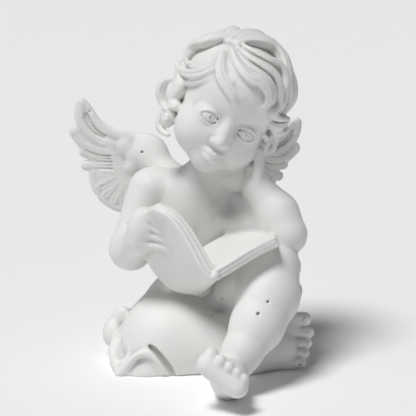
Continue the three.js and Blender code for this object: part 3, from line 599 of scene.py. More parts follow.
@dataclass(frozen=True)
class Trunk:
    """The trunk, from the hips to the neck."""

    masses: tuple = (
        ((-3, 8, 18), (25, 21, 20)),
        ((-5, 4, 45), (17.5, 16, 19)),
        ((-5, 4, 65), (19, 14, 17)),
        ((8, 1, 58), (11, 12, 14)),
        ((-17, 0, 57), (9, 10, 13)),
    )
    left_shoulder: tuple = ((6, 0, 84), (17, -6, 84), 8, 7)
    shoulders: tuple = ((-22, 5, 76), (13, 2, 72.5), 9.3, 9)
    neck: tuple = ((-3, 4, 78), (5, 0, 92), 9.5)

    def field(self) -> Field:
        """Builds the trunk with its shoulders and neck."""
        masses = [Lobe(*mass) for mass in self.masses]
        return Blend(SOFT.body, [*masses, *limbs((self.left_shoulder, self.shoulders, self.neck))])


@dataclass(frozen=True)
class Legs:
    """Both legs: the right one lies folded, and the left one has its knee up."""

    right_parts: tuple = (
        ((-10, 11, 16), (-18.5, -12, 9), 20),
        ((-18.5, -12, 9), (14, -20, 9), 19.5, 12.5),
        ((14, -20, 9), (30, -19, 8.5), 12.5, 9.5),
    )
    left_thigh: tuple = ((8, 8, 28), (27, -25, 48), 17, 12)
    left_haunch: tuple = ((20, -8, 22), (12, 13, 20))
    left_path: tuple = (
        (27, -25, 48),
        (26, -33, 37),
        (21, -43, 27),
        (14.5, -52, 18),
        (9.5, -56, 9.5),
    )
    left_girth: tuple = (12, 13, 11, 8, 6.8)

    def right(self) -> Field:
        """Builds the right leg."""
        return Blend(SOFT.body, limbs(self.right_parts))

    def left(self) -> Field:
        """Builds the left leg, from the hip to the heel.

        Returns:
            The leg without its foot.
        """
        path, girth = self.left_path, self.left_girth
        shin = limbs(zip(path, path[1:], girth, girth[1:]))
        return Blend(SOFT.limb, [limb(*self.left_thigh), Lobe(*self.left_haunch), *shin])


@dataclass(frozen=True)
class Foot:
    """A foot in its own axes: across to the little toe, forward, and up from the sole."""

    axes: Axes
    length: float
    width: float
    pad: float
    sole: tuple = (
        ((0.5, 0, 6), (0.5, 0.35, 7), 7, 6.5),
        ((0.42, 0.3, 7), (0.22, 0.7, 5), 6.5, 5),
        ((0.58, 0.3, 6), (0.8, 0.66, 4.5), 6, 4.5),
    )
    toe_across: tuple = (0.04, 0.31, 0.53, 0.73, 0.92)
    toe_reach: tuple = (0.96, 1, 0.97, 0.93, 0.88)
    toe_root: tuple = (0.66, 7.2)
    toe_height: float = 7.8
    big_toe: float = 3.2
    small_toe: float = 2.5
    toe_step: float = 0.1
    nail_line: float = 0.3
    nail_softness: float = 0.2

    def _at(self, place: Place) -> list[float]:
        """Turns shares of the width and the length, and a height, into a place in the axes."""
        return [self.width * place[0], self.length * place[1], place[2]]

    def field(self) -> Field:
        """Builds the sole, the toes and the toenails.

        Returns:
            The foot.
        """
        ball = ((0.1, self.pad, 3.6), (0.92, self.pad - 0.08, 3.4), 4.4, 4)
        sole = [
            self.axes.limb(self._at(start), self._at(end), *girths)
            for start, end, *girths in (*self.sole, ball)
        ]
        toes: list[Field] = []
        nails: list[Cones] = []
        root, root_height = self.toe_root
        for i, (share, reach) in enumerate(zip(self.toe_across, self.toe_reach)):
            across = self.width * share
            girth = self.big_toe if i == 0 else self.small_toe - self.toe_step * i
            tip = self.length * reach - girth
            start = [across, self.length * root, root_height]
            toes.append(self.axes.limb(start, [across, tip, self.toe_height], girth))
            nails.append(self._nail(across, tip + 0.35 * girth, self.toe_height + 0.86 * girth, girth))
        foot = Blend(SOFT.hand, [Blend(SOFT.limb, sole), *toes])
        return Hollowed(self.nail_softness, foot, [Cones.joined(nails)])

    def _nail(self, across: float, along: float, height: float, girth: float) -> Cones:
        """Makes the groove round the root of a toenail.

        Args:
            across: where the toe's middle line lies across the foot.
            along: the middle of the nail along the foot.
            height: the height of the nail.
            girth: the toe's radius.

        Returns:
            The groove.
        """
        half = 0.5 * girth
        low = height - 0.2
        rows = [[across - half, along + half, low], [across - 0.9 * half, along - half, height]]
        rows += [[across + 0.9 * half, along - half, height], [across + half, along + half, low]]
        return strand([self.axes.place(row) for row in rows], steady(self.nail_line), 6)


def left_foot() -> Foot:
    """Lays out the left foot, which points ahead with its toes raised.

    Returns:
        The foot.
    """
    forward = unit([-0.06, -0.83, 0.55])
    up = cross(forward, [0.8, -0.25, -0.55])
    return Foot(Axes([-2.6, -58, 6.8], cross(up, forward), forward, up), 27, 19, 0.82)


def right_foot() -> Foot:
    """Lays out the right foot, which lies on its side beyond the left leg.

    Returns:
        The foot.
    """
    across = unit([0, -0.45, -0.89])
    forward = unit([0.98, 0.12, 0.03])
    up = cross(across, forward)
    return Foot(Axes([15.5, -9, 19], across, cross(up, across), up), 31, 22, 0.68)


@dataclass(frozen=True)
class Arms:
    """Both arms and hands: the right hand holds the book, the left one holds the cheek."""

    right_arm: tuple = (
        ((-25.5, 4, 75.5), (-34.5, -3, 50), 10, 8.8),
        ((-34.5, -3, 50), (-30, -18, 58), 8.8, 6.2),
    )
    right_palm: tuple = (
        ((-30, -18, 58), (-28.5, -21.5, 64), 6.4),
        ((-29, -21.5, 59), (-28, -22.5, 69), 5.4, 5),
    )
    right_fingers: tuple = (
        ((-27, -25.5, 71.5), (-18.4, -28.5, 66.8), 2),
        ((-27, -25.5, 67), (-16.6, -28.5, 63.3), 2),
        ((-27.5, -25.5, 62.6), (-15.6, -28.5, 60.2), 1.9),
        ((-28.5, -25, 58.4), (-16, -28, 57), 2.1),
    )
    fingertip: float = 0.9
    left_arm: tuple = (
        ((16, 0, 71), (34, -20, 61), 10, 8.3),
        ((34, -20, 61), (30.5, -16, 69.5), 8.3, 8.6),
        ((30.5, -16, 69.5), (21.8, -12.5, 80), 8.6, 7),
        ((8, -4, 62), (30, -17, 59), 8, 7),
    )
    left_palm: tuple = ((21.6, -12, 80), (21.4, -11.5, 87), 6.6, 4.6)
    left_finger: tuple = ((21.6, -16, 84), (22.4, -14.8, 97), 2.5, 1.9)
    finger_spacing: float = 2.9
    finger_rise: tuple = (0, 1.6, 1.8, 0.6)

    def right(self) -> Field:
        """Builds the right arm and hand.

        Returns:
            The arm, from the shoulder to the fingertips.
        """
        arm, palm = (Blend(SOFT.limb, limbs(rows)) for rows in (self.right_arm, self.right_palm))
        fingers = [
            limb(knuckle, tip, girth, girth * self.fingertip)
            for knuckle, tip, girth in self.right_fingers
        ]
        return Blend(SOFT.hand, [arm, Blend(SOFT.hand, [palm, *fingers])])

    def left(self) -> Field:
        """Builds the left arm, and the hand that lies flat against the cheek.

        Returns:
            The arm, from the shoulder to the fingertips.
        """
        hand = [limb(*self.left_palm)]
        (x, y, z), (tip_x, tip_y, tip_z), *girths = self.left_finger
        for i, rise in enumerate(self.finger_rise):
            aside = self.finger_spacing * i
            hand.append(limb([x, y + aside, z], [tip_x, tip_y + aside, tip_z + rise], *girths))
        return Blend(SOFT.hand, [Blend(SOFT.limb, limbs(self.left_arm)), Blend(SOFT.hand, hand)])


@dataclass(frozen=True)
class Skull:
    """The head's own axes, and the ellipsoids of the skull and the face."""

    centre: Place = (10.5, -3, 118.8)
    roll: float = 28
    pitch: float = -5
    yaw: float = 5
    skull_centre: Place = (0, -2, 4)
    skull_radii: Place = (22.5, 24.5, 20.5)
    face_centre: Place = (0, 6, -11)
    face_radii: Place = (18.6, 17.5, 20)

    def axes(self) -> Axes:
        """Turns the head.

        Returns:
            Its axes: left, forward and up.
        """
        (rc, rs), (pc, ps), (yc, ys) = (
            (math.cos(turn), math.sin(turn))
            for turn in map(math.radians, (self.roll, -self.pitch, self.yaw))
        )
        about_y = np.array([[rc, 0, rs], [0, 1, 0], [-rs, 0, rc]])
        about_x = np.array([[1, 0, 0], [0, pc, -ps], [0, ps, pc]])
        about_z = np.array([[yc, -ys, 0], [ys, yc, 0], [0, 0, 1]])
        turn = about_z @ about_x @ about_y
        return Axes(self.centre, turn @ [1, 0, 0], turn @ [0, -1, 0], turn @ [0, 0, 1])

    def direction(self, azimuth: float, elevation: float) -> Array:
        """Finds a direction from the head's centre, in the head's own axes."""
        a, e = math.radians(azimuth), math.radians(elevation)
        return np.array([math.sin(a) * math.cos(e), math.cos(a) * math.cos(e), math.sin(e)])

    def over(self, place: Place) -> Array:
        """Finds a place over the head.

        Args:
            place: azimuth towards the left, elevation, and lift off the skin.

        Returns:
            The place in the sculptor's axes.
        """
        azimuth, elevation, lift = place
        way = self.direction(azimuth, elevation)
        skin = max(
            self._reach(way, self.skull_centre, self.skull_radii),
            self._reach(way, self.face_centre, self.face_radii),
        )
        return self.axes().place(way * (skin + lift))

    @staticmethod
    def _reach(way: Array, centre: Place, radii: Place) -> float:
        """Measures how far a direction runs inside an ellipsoid.

        Args:
            way: the unit direction, from the head's centre.
            centre: the middle of the ellipsoid.
            radii: its radii.

        Returns:
            The distance to the ellipsoid's skin.
        """
        c, r = np.array(centre, float), np.array(radii, float)
        a = ((way / r) ** 2).sum()
        b = (way * c / r**2).sum()
        return (b + math.sqrt(b * b - a * (((c / r) ** 2).sum() - 1))) / a


SKULL = Skull()
HEAD = SKULL.axes()


@dataclass(frozen=True)
class Face:
    """A calm child's face with incised almond eyes."""

    brow: tuple = ((0, 8, 6), (18, 16.5, 15))
    cheek: tuple = ((9.8, 11.5, -17), (9.4, 10.5, -18), 8.8)
    chin: tuple = ((0, 15, -26), (0, 13.5, -25.5), 6.5)
    nose: tuple = ((0, 20.8, -6), (0, 24, -15), 1.9, 2.75)
    nostril: tuple = ((2.3, 22.4, -16), (2.1, 21.9, -16), 1.75)
    socket: tuple = ((8.6, 25.5, -7.5), (6.5, 4.2, 4.6))
    eye_spread: float = 8.8
    eye_level: float = -8
    eye_depth: float = 16
    eye_radius: float = 6.2
    eye_width: float = 9
    eye_height: float = 5.4
    upper_lid: float = 0.62
    lower_lid: float = 0.5
    iris: float = 1.85
    spark: float = 0.62
    line: float = 0.45
    upper_lip: tuple = ((4.9, 20, -20.9), (2.4, 22.1, -21.3), (0, 22.7, -21.9))
    lower_lip: tuple = ((3.9, 20.3, -22.2), (2, 21.8, -23.7), (0, 22.2, -24.2))
    lip_girths: tuple = (1.4, 1.75)
    soft_masses: float = 5
    soft_sockets: float = 3
    soft_features: float = 1.5
    soft_lips: float = 0.5
    soft_lines: float = 0.15

    def _lip(self, half: tuple, girth: float) -> Cones:
        """Makes a lip: a roll that is fullest in the middle, from half of its path.

        Args:
            half: the path from a corner of the mouth to the middle.
            girth: the radius in the middle.

        Returns:
            The lip.
        """
        places = [HEAD.place([-x, y, z]) for x, y, z in half]
        places += [HEAD.place(place) for place in half[-2::-1]]
        return strand(places, swelling(girth, 0.4), 12)

    def _masses(self) -> Field:
        """Builds the skull, the cheeks and the chin, with the sockets of the eyes pressed in.

        Returns:
            The head without its features.
        """
        masses = [
            HEAD.lobe(SKULL.skull_centre, SKULL.skull_radii),
            HEAD.lobe(SKULL.face_centre, SKULL.face_radii),
            HEAD.lobe(*self.brow),
            *(HEAD.limb(*mirrored(self.cheek, side)) for side in Side),
            HEAD.limb(*self.chin),
        ]
        centre, radii = self.socket
        sockets = [HEAD.lobe(mirrored((centre,), side)[0], radii) for side in Side]
        return Hollowed(self.soft_sockets, Blend(self.soft_masses, masses), sockets)

    def field(self) -> Field:
        """Builds the head without its hair.

        Returns:
            The head.
        """
        details: list[Field] = []
        for side in Side:
            details.append(HEAD.limb(*mirrored(self.nostril, side)))
            eye = [self.eye_spread * side.value, self.eye_depth, self.eye_level]
            details.append(HEAD.lobe(eye, [self.eye_radius] * 3))
        halves = (self.upper_lip, self.lower_lip)
        lips = Blend(self.soft_lips, [self._lip(*lip) for lip in zip(halves, self.lip_girths)])
        head = Blend(self.soft_sockets, [self._masses(), HEAD.limb(*self.nose)])
        face = Blend(self.soft_features, [head, *details, lips])
        lids = [self._lid(side, way) for side in Side for way in (1, -1)]
        cuts = Cones.joined([cut for side in Side for cut in self._cuts(side)])
        return Hollowed(self.soft_lines, Blend(self.soft_lips, [face, *lids]), [cuts])

    def _on_eye(self, side: Side, across: float, rise: float, lift: float) -> Array:
        """Finds a place on an eyeball, lifted off it.

        Args:
            side: which eye.
            across: how far the place lies to the left of the eye's middle.
            rise: how far it lies above the middle.
            lift: how far it lies off the eyeball.

        Returns:
            The place in the sculptor's axes.
        """
        bulge = math.sqrt(max(self.eye_radius**2 - across**2 - rise**2, 0)) + lift
        left = self.eye_spread * side.value + across
        return HEAD.place([left, self.eye_depth + bulge, self.eye_level + rise])

    def _arc(self, side: Side, way: float, grow: float, lift: float) -> list[Array]:
        """Follows an eyelid from corner to corner.

        Args:
            side: which eye.
            way: one above the eye, and minus one below it.
            grow: how far outside the opening of the eye the arc runs.
            lift: how far it lies off the eyeball.

        Returns:
            The places of the arc.
        """
        turns = [math.pi * i / 8 for i in range(9)]
        width, height = self.eye_width / 2 + grow, self.eye_height / 2 + grow
        return [
            self._on_eye(side, -width * math.cos(t), way * height * math.sin(t) ** 1.2, lift)
            for t in turns
        ]

    def _lid(self, side: Side, way: float) -> Cones:
        """Makes an eyelid: a thin roll over the eyeball."""
        girth = self.upper_lid if way > 0 else self.lower_lid
        return strand(self._arc(side, way, 0.1, 0.05), swelling(girth, 0.6), 10)

    def _cuts(self, side: Side) -> list[Cones]:
        """Cuts the lines of one eye: inside both lids, round the iris, and its spark.

        Args:
            side: which eye.

        Returns:
            The lines.
        """
        thin, lift = steady(self.line), 0.12
        ring = [
            self._on_eye(side, self.iris * math.cos(t), 0.25 + self.iris * math.sin(t), lift)
            for t in np.linspace(0, 2 * math.pi, 13)
        ]
        return [
            strand(self._arc(side, 1, -0.62, lift), thin, 8),
            strand(self._arc(side, -1, -0.55, lift), thin, 8),
            strand(ring, thin, 12),
            limb(self._on_eye(side, 0.1, 0.6, 0), self._on_eye(side, 0.1, 0, 0), self.spark),
        ]


@dataclass(frozen=True)
class Lock:
    """One lock of hair: its girth and its path over the head."""

    girth: float
    path: tuple
    cones: int = 4
    core: float = 0.8
    ridge: float = 0.4
    spread: float = 0.6
    crest: float = 0.64
    flank: float = 0.42
    softness: float = 0.25

    def taper(self, t: Array) -> Array:
        """Gives the girth at a share of the way."""
        return self.girth * (0.45 + 0.55 * np.sin(math.pi * np.minimum(1, 0.15 + 0.78 * t)))

    def field(self, combed: bool = True) -> Field:
        """Builds the lock, with three fine strands combed along its back.

        Args:
            combed: whether it has the strands, which a hollow has not.

        Returns:
            The lock.
        """
        places = [SKULL.over(place) for place in self.path]
        pieces = self.cones * (len(places) - 1)
        body = strand(places, lambda t: self.taper(t) * (self.core if combed else 1), pieces)
        if not combed:
            return body
        shares = np.linspace(0, 1, pieces + 1)
        line = curve(places, shares)
        girth = self.taper(shares)
        out = line - HEAD.origin
        out /= np.linalg.norm(out, axis=1)[:, None]
        aside = np.cross(np.gradient(line, axis=0), out)
        aside /= np.linalg.norm(aside, axis=1)[:, None] + TINY
        strands = []
        for k in (-1, 0, 1):
            spread = self.spread * k * np.sin(math.pi * np.clip(0.12 + 0.8 * shares, 0, 1))
            rise = self.flank if k else self.crest
            middle = line + aside * (spread * girth)[:, None] + out * (rise * girth)[:, None]
            thin = self.ridge * girth
            strands.append(Cones(middle[:-1], middle[1:], thin[:-1], thin[1:]))
        return Blend(self.softness, [body, Cones.joined(strands)])


@dataclass(frozen=True)
class Tier:
    """A tier of wavy locks that hang side by side, in degrees over the head."""

    count: int
    first: float
    spacing: float
    top: float
    step: float
    girth: float
    lift: float
    wave: float

    def locks(self) -> list[Lock]:
        """Lays out the tier, combed in one wave.

        Returns:
            The locks.
        """
        made = []
        for i in range(self.count):
            path = []
            for j in range(5):
                sway = self.wave * math.sin(1.8 * j + 0.5 * i)
                azimuth = self.first + self.spacing * i + sway
                path.append((azimuth, self.top - self.step * j, self.lift + 0.45 * j))
            made.append(Lock(self.girth, tuple(path)))
        return made


@dataclass(frozen=True)
class Hair:
    """Wavy, tousled hair, parted above the right eye.

    Each place of a lock is an azimuth towards the left, an elevation, and a lift off the skin.
    """

    cap_centre: Place = (0, -3.5, 5)
    cap_lift: float = 0.4
    softness: float = 0.7
    locks: tuple = (
        Lock(3, (
            (-94, 63, 1.6), (-90, 49, 2.4), (-89, 38, 3), (-97, 30, 3.4), (-105, 20, 3.4),
            (-103, 9, 2.4),
        )),
        Lock(2.1, (
            (-59, 48, 1.4), (-54, 35, 2), (-57, 25, 2.4), (-65, 17, 2.8), (-77, 12, 3.4),
            (-93, 12, 3.6),
        )),
        Lock(3.2, ((-52, 41, 0.2), (-50, 25, 0.5), (-60, 13, 0.9), (-82, 3, 1.4), (-100, 0, 3))),
        Lock(2, ((-45, 31, 0), (-47, 17, 0.2), (-60, 4, 0.4), (-90, -8, 1), (-99, -6, 2.2))),
        Lock(1.9, ((-92, -4, 1.8), (-98, -1, 4), (-101, 5, 5.2))),
        Lock(4.2, ((-98, -10, 2.5), (-96, -21, 5), (-90, -31, 5), (-75, -33, 3))),
        Lock(2.6, (
            (-91, -6, 1.5), (-98, -12, 6), (-97, -17, 9.4), (-95, -24, 11.2), (-91, -32, 9.8),
            (-80, -36, 6),
        )),
        Lock(3.8, ((-82, -39, 4.5), (-79, -48, 5))),
        Lock(2.3, ((-80, -37, 5), (-90, -42, 8.6), (-88, -48, 9), (-80, -52, 7.4), (-68, -53, 5))),
        Lock(2.4, (
            (-57, 46, 1.4), (-43, 32, 1.6), (-32, 22, 1.8), (-20, 16, 2), (-10, 10, 2.2),
            (-4, 5, 1.2),
        )),
        Lock(1.2, ((-27, 27, 1.6), (-15, 22, 2), (-5, 17, 2), (-3, 10, 1.2))),
        Lock(2.7, (
            (-49, 51, 1.6), (-24, 40, 2.4), (-7, 34, 3.2), (7, 34, 3.8), (19, 28, 3.8), (23, 20, 3),
            (20, 12, 1.6),
        )),
        Lock(1.9, (
            (-46, 54, 1.6), (-19, 46, 2.4), (-1, 42, 3.2), (14, 39, 3.6), (25, 33, 3.4),
            (31, 24, 2.6),
        )),
        Lock(2.1, (
            (-49, 58, 1.6), (-17, 54, 2.4), (7, 51, 3.2), (25, 47, 3.4), (34, 39, 3.2),
            (41, 28, 2.6), (44, 20, 2),
        )),
        Lock(2, (
            (-58, 64, 1.6), (-23, 64, 2.2), (13, 62, 2.8), (43, 60, 3.2), (50, 51, 3.2),
            (49, 39, 3), (54, 26, 2.4),
        )),
        Lock(3, (
            (-57, 62, 1.6), (-60, 74, 2.4), (-10, 86, 3.4), (88, 79, 3.8), (78, 69, 3.6),
            (63, 58, 3.2), (56, 45, 3), (61, 33, 2.8),
        )),
        Lock(2.8, (
            (-66, 61, 1.6), (-88, 75, 2.6), (170, 86, 3.6), (112, 78, 3.8), (100, 64, 3.8),
            (96, 50, 3.2),
        )),
        Lock(2.8, (
            (-75, 58, 1.6), (-104, 69, 2.7), (-150, 76, 3.6), (172, 72, 3.8), (150, 60, 3.6),
        )),
        Lock(2.7, (
            (-82, 55, 1.6), (-101, 60, 2.8), (-120, 61, 3.4), (-134, 54, 3.4), (-142, 44, 3.2),
        )),
        Lock(2, ((46, 25, 2.6), (37, 15, 2.6), (37, 12, 2.4), (50, 9, 2.8), (77, 8, 3.8))),
        Lock(2, ((77, 7, 3.9), (72, 1, 3.4), (56, 0, 2.6), (47, 0, 2))),
        Lock(2, ((53, -3, 2), (68, -8, 3.8), (76, -6, 5.6), (80, -1, 6))),
        Lock(1.5, ((53, -15, 1.6), (68, -22, 3.4), (69, -29, 3.4))),
        Lock(2.6, ((68, -12, 3), (74, -17, 6), (74, -23, 7), (69, -28, 6))),
    )
    hollows: tuple = (
        Lock(2.4, ((-59, 46, 1.8), (-68, 37, 1.5), (-77, 28, 1.6), (-84, 20, 2))),
        Lock(2.2, ((-39, 69, 1.8), (-5, 72, 1.8), (34, 70, 2), (54, 63, 2.2))),
        Lock(2.6, ((-16, 23, 1.8), (-5, 20, 1.5), (6, 18, 1.5), (12, 14, 1.6))),
    )
    tiers: tuple = (
        Tier(count=10, first=92, spacing=19, top=76, step=16, girth=3.3, lift=0.8, wave=8),
        Tier(count=10, first=74, spacing=21, top=8, step=13, girth=3.2, lift=1.8, wave=9),
    )

    def field(self) -> Field:
        """Builds the cap, the locks and the hollows under them.

        Returns:
            The hair.
        """
        cap = HEAD.lobe(self.cap_centre, [r + self.cap_lift for r in SKULL.skull_radii])
        back = [lock for tier in self.tiers for lock in tier.locks()]
        hair = Blend(self.softness, [cap, *(lock.field() for lock in (*self.locks, *back))])
        return Hollowed(SOFT.hair, hair, [hollow.field(combed=False) for hollow in self.hollows])


@dataclass(frozen=True)
class Feather:
    """A feather of a wing: its girth, its taper, its depth and its path over the plan."""

    girth: float
    taper: float
    depth: float
    path: tuple


@dataclass(frozen=True)
class Wing:
    """A wing, laid out flat from the right one: outward from the joint, then up."""

    pivot: Place
    side: Side
    scale: float
    sweep: float
    tilt: float
    squash: float = 2
    feathers: tuple = (
        Feather(3.2, 0.45, 0.7, (
            (2, 5), (9, 7.5), (15, 8.5), (20, 11), (23.3, 14.6), (25.5, 18.5), (27, 21.2),
        )),
        Feather(3.1, 0.9, 0.4, (
            (9, 3.5), (19, 4), (25, 7.5), (29, 12), (30.2, 17.5), (29.4, 21.6),
        )),
        Feather(2.6, 0.7, -0.5, ((12, 5), (21, 7), (26.4, 11.5), (28.2, 17.5))),
        Feather(3.3, 1, 0.2, ((10, 0), (22, 0.5), (28.5, 3.5), (32.4, 8.5))),
        Feather(2.6, 1, 0, ((10, -3), (22, -3), (28.8, -0.8))),
        Feather(3, 0.85, -0.2, ((10, -6), (21, -6.5), (28, -7.2))),
    )
    coverts: tuple = (((9.4, 3), 3.4), ((6, -1.4), 3.2), ((6.5, -6.4), 3))
    covert_rise: float = 0.6
    covert_depth: float = 2.4
    blade: tuple = ((14, 0), (14, 10))
    blade_depth: float = 3.6
    lobe_centre: tuple = (9, -11)
    lobe_radius: float = 17
    rim: float = 2.1
    rim_inset: float = 1.2
    finger_root: tuple = (3, -5)
    finger_reach: float = 13
    finger_girths: tuple = (3, 2.4)
    shoulder: tuple = (-1, (9, 8.6, 4.6))
    groove: float = 0.45
    soft_blades: float = 0.6
    soft_grooves: float = 0.3
    soft_shoulder: float = 2.2

    def axes(self) -> Axes:
        """Turns the wing's plane.

        Returns:
            Its axes: outward, up and the way it faces.
        """
        outward = unit([self.side.value, self.sweep, 0])
        facing = cross([0, 0, 1], outward) * -self.side.value
        return Axes(self.pivot, outward, [0, 0, 1], facing)

    def flat(self, place: Place, depth: float = 0) -> list[float]:
        """Turns a place on the wing's plan into the squashed axes.

        Args:
            place: outward and up, in the plan.
            depth: how far the place lies out of the plan.

        Returns:
            The place in the squashed axes.
        """
        turn = math.radians(self.tilt)
        u, v = place
        across = u * math.cos(turn) + v * math.sin(turn)
        rise = v * math.cos(turn) - u * math.sin(turn)
        return [across * self.scale, rise * self.scale, depth * self.squash]

    def _on_lobe(self, radius: float, degrees: float, depth: float = 0) -> list[float]:
        """Finds a place on the lower lobe, at a distance and a direction from its middle."""
        (u, v), t = self.lobe_centre, math.radians(degrees)
        return self.flat([u + radius * math.cos(t), v + radius * math.sin(t)], depth)

    def field(self) -> Field:
        """Builds the feathers, the coverts and the fleshy shoulder of the wing.

        Returns:
            The wing.
        """
        axes = self.axes()
        k = self.scale
        parts: list[Field] = []
        cuts: list[Cones] = []
        for feather in self.feathers:
            places = [self.flat(place, feather.depth) for place in feather.path]
            thick = tapered(feather.girth * k, feather.taper)
            parts.append(strand(places, thick, 4 * (len(places) - 1)))
            cuts.extend(self._barbs(np.array(places), feather.girth * k))
        radius = self.lobe_radius * k
        parts.append(Lobe(self.flat(self.lobe_centre), [radius, radius, self.blade_depth]))
        centre, (length, height) = self.blade
        parts.append(Lobe(self.flat(centre), [length * k, height * k, self.blade_depth]))
        edge = [self._on_lobe(self.lobe_radius - self.rim_inset, 8 - 13.5 * i) for i in range(9)]
        parts.append(strand(edge, steady(self.rim * k), 16))
        first, last = self.finger_girths
        for i in range(5):
            tip = self._on_lobe(self.finger_reach, -22 - 21 * i, 0.4)
            parts.append(limb(self.flat(self.finger_root, 0.2), tip, first * k, last * k))
        cuts.extend(self._rays())
        flat = Flat(axes, self.squash, Blend(self.soft_blades, parts))
        blades = Hollowed(self.soft_grooves, flat, [Cones.joined(cuts)])
        coverts = [
            axes.lobe(
                [*self.flat(place)[:2], self.covert_rise], [girth * k, girth * k, self.covert_depth]
            )
            for place, girth in self.coverts
        ]
        aside, (wide, high, deep) = self.shoulder
        shoulder = axes.lobe([aside * k, 0, 0], [wide * k, high * k, deep])
        return Blend(self.soft_shoulder, [blades, *coverts, shoulder])

    def _barbs(self, places: Array, girth: float) -> list[Cones]:
        """Cuts three fine lines along both faces of a feather.

        Args:
            places: the feather's path, in the squashed axes.
            girth: its radius.

        Returns:
            The lines.
        """
        line = curve(places, np.linspace(0.25, 0.97, 9))
        way = np.gradient(line, axis=0)
        aside = np.column_stack([-way[:, 1], way[:, 0], 0 * way[:, 0]])
        aside /= np.linalg.norm(aside, axis=1)[:, None]
        cuts = []
        for share in (-0.52, 0, 0.52):
            height = girth * math.sqrt(1 - share * share)
            for face in (-1, 1):
                middle = line + aside * share * girth + np.array([0, 0, face * height])
                cuts.append(self._groove(middle))
        return cuts

    def _rays(self) -> list[Cones]:
        """Cuts fine lines that spread over the lower lobe, and a few between it and the blade.

        Returns:
            The lines.
        """
        lines = []
        for i in range(13):
            near, far = 5 + 2.2 * (i % 3), 15 - 1.4 * (i % 2)
            degrees = 4 - 9.5 * i
            lines.append((self._on_lobe(near, degrees), 3.7, self._on_lobe(far, degrees), 2.6))
        for i in range(5):
            start = self.flat([8.5 + 0.6 * i, -2.6 - 1.9 * i])
            end = self.flat([13.4 + 0.4 * i, -4.6 - 2.1 * i])
            lines.append((start, 3.9, end, 3.7))
        return [
            self._groove(np.array([[*start[:2], face * near], [*end[:2], face * far]]))
            for start, near, end, far in lines
            for face in (-1, 1)
        ]

    def _groove(self, middle: Array) -> Cones:
        """Cuts a fine line, a little above the skin.

        Args:
            middle: the places of the line, in the squashed axes.

        Returns:
            The line, in the sculptor's axes.
        """
        above = np.sign(middle[:, 2:3]) * [0, 0, self.groove / 2]
        places = self.axes().origin + (middle * [1, 1, 1 / self.squash] + above) @ self.axes().rows
        radii = np.full(len(places) - 1, self.groove)
        return Cones(places[:-1], places[1:], radii, radii)


RIGHT_WING = Wing((-28, 20, 89), Side.RIGHT, 1, 0.16, 0)
LEFT_WING = Wing((14, 19, 89.5), Side.LEFT, 0.9, 0.6, 18)


@dataclass(frozen=True)
class Book:
    """An open book: each half is a stack of leaves, from its near edge to its far edge."""

    spine: Place = (3, -46, 49.9)
    spine_end: Place = (3.1, -46, 50)
    gutter: float = 4
    right_near: tuple = (
        (-21.8, -30, 76), (-16.2, -34, 74.3), (-10.2, -38, 68.8), (-4.7, -42, 60.6),
        (-0.4, -45, 53.1), (3, -46, 49.9),
    )
    right_far: tuple = (
        (-34, -13, 66), (-27, -13, 52), (-20.5, -15, 42), (-13.3, -16, 35.8), (-7, -15, 34.6),
        (-2.5, -14, 35),
    )
    left_near: tuple = (
        (3, -46, 49.9), (9.3, -45.5, 53.5), (15.7, -44, 57.2), (22, -42, 60.4), (28.9, -39, 62.9),
    )
    left_far: tuple = (
        (-1, -15, 52), (5, -14, 55.5), (12, -13.5, 58.8), (20.5, -13, 60.2), (27.5, -12, 58.5),
    )
    right_pitch: float = 2.05
    left_pitch: float = 1.65
    edge: float = 1.5
    core_inset: float = 0.06
    strips: int = 18
    web: tuple = ((-15, -13, 39), (-3, -12, 35), 4.5)

    def _sheet(
        self, near: tuple, far: tuple, height: float, thickness: float, inset: float
    ) -> Leaves:
        """Makes one sheet.

        Args:
            near: the path of its near edge.
            far: the path of its far edge.
            height: how high it lies over the middle of its half.
            thickness: how thick it is.
            inset: the share that is left off at each of its sides.

        Returns:
            The sheet, as a row of ruled leaves.
        """
        shares = inset + (1 - 2 * inset) * np.linspace(0, 1, self.strips + 1)
        starts, ends = curve(near, shares), curve(far, shares)
        way = ends - starts
        ahead, behind = np.minimum(shares + STEP, 1), np.maximum(shares - STEP, 0)
        lift = np.cross(curve(near, ahead) - curve(near, behind), way)
        lift *= height / np.linalg.norm(lift, axis=1)[:, None]
        first, last = starts + lift + way * inset, ends + lift - way * inset
        return Leaves(np.stack([first[:-1], first[1:], last[:-1], last[1:]], axis=1), thickness)

    def _half(self, near: tuple, far: tuple, pitch: float) -> Field:
        """Builds one half: three bundles of leaves that stand out from a thicker core.

        Args:
            near: the path of its near edge.
            far: the path of its far edge.
            pitch: how far apart the bundles lie.

        Returns:
            The half.
        """
        bundles = [self._sheet(near, far, layer * pitch, self.edge, 0) for layer in (-1, 0, 1)]
        core = self._sheet(near, far, 0, 2 * pitch + self.edge, self.core_inset)
        return Blend(self.edge / 4, [*bundles, core])

    def field(self) -> Field:
        """Builds both halves, the gutter and the web of plaster under the cover.

        Returns:
            The book.
        """
        corners = [self.spine, self.spine_end, self.right_far[-1], self.left_far[0]]
        halves = [
            self._half(self.right_near, self.right_far, self.right_pitch),
            self._half(self.left_near, self.left_far, self.left_pitch),
        ]
        pages = Blend(SOFT.hand / 3, [*halves, Leaves([corners], self.gutter)])
        return Blend(SOFT.hand, [pages, limb(*self.web)])


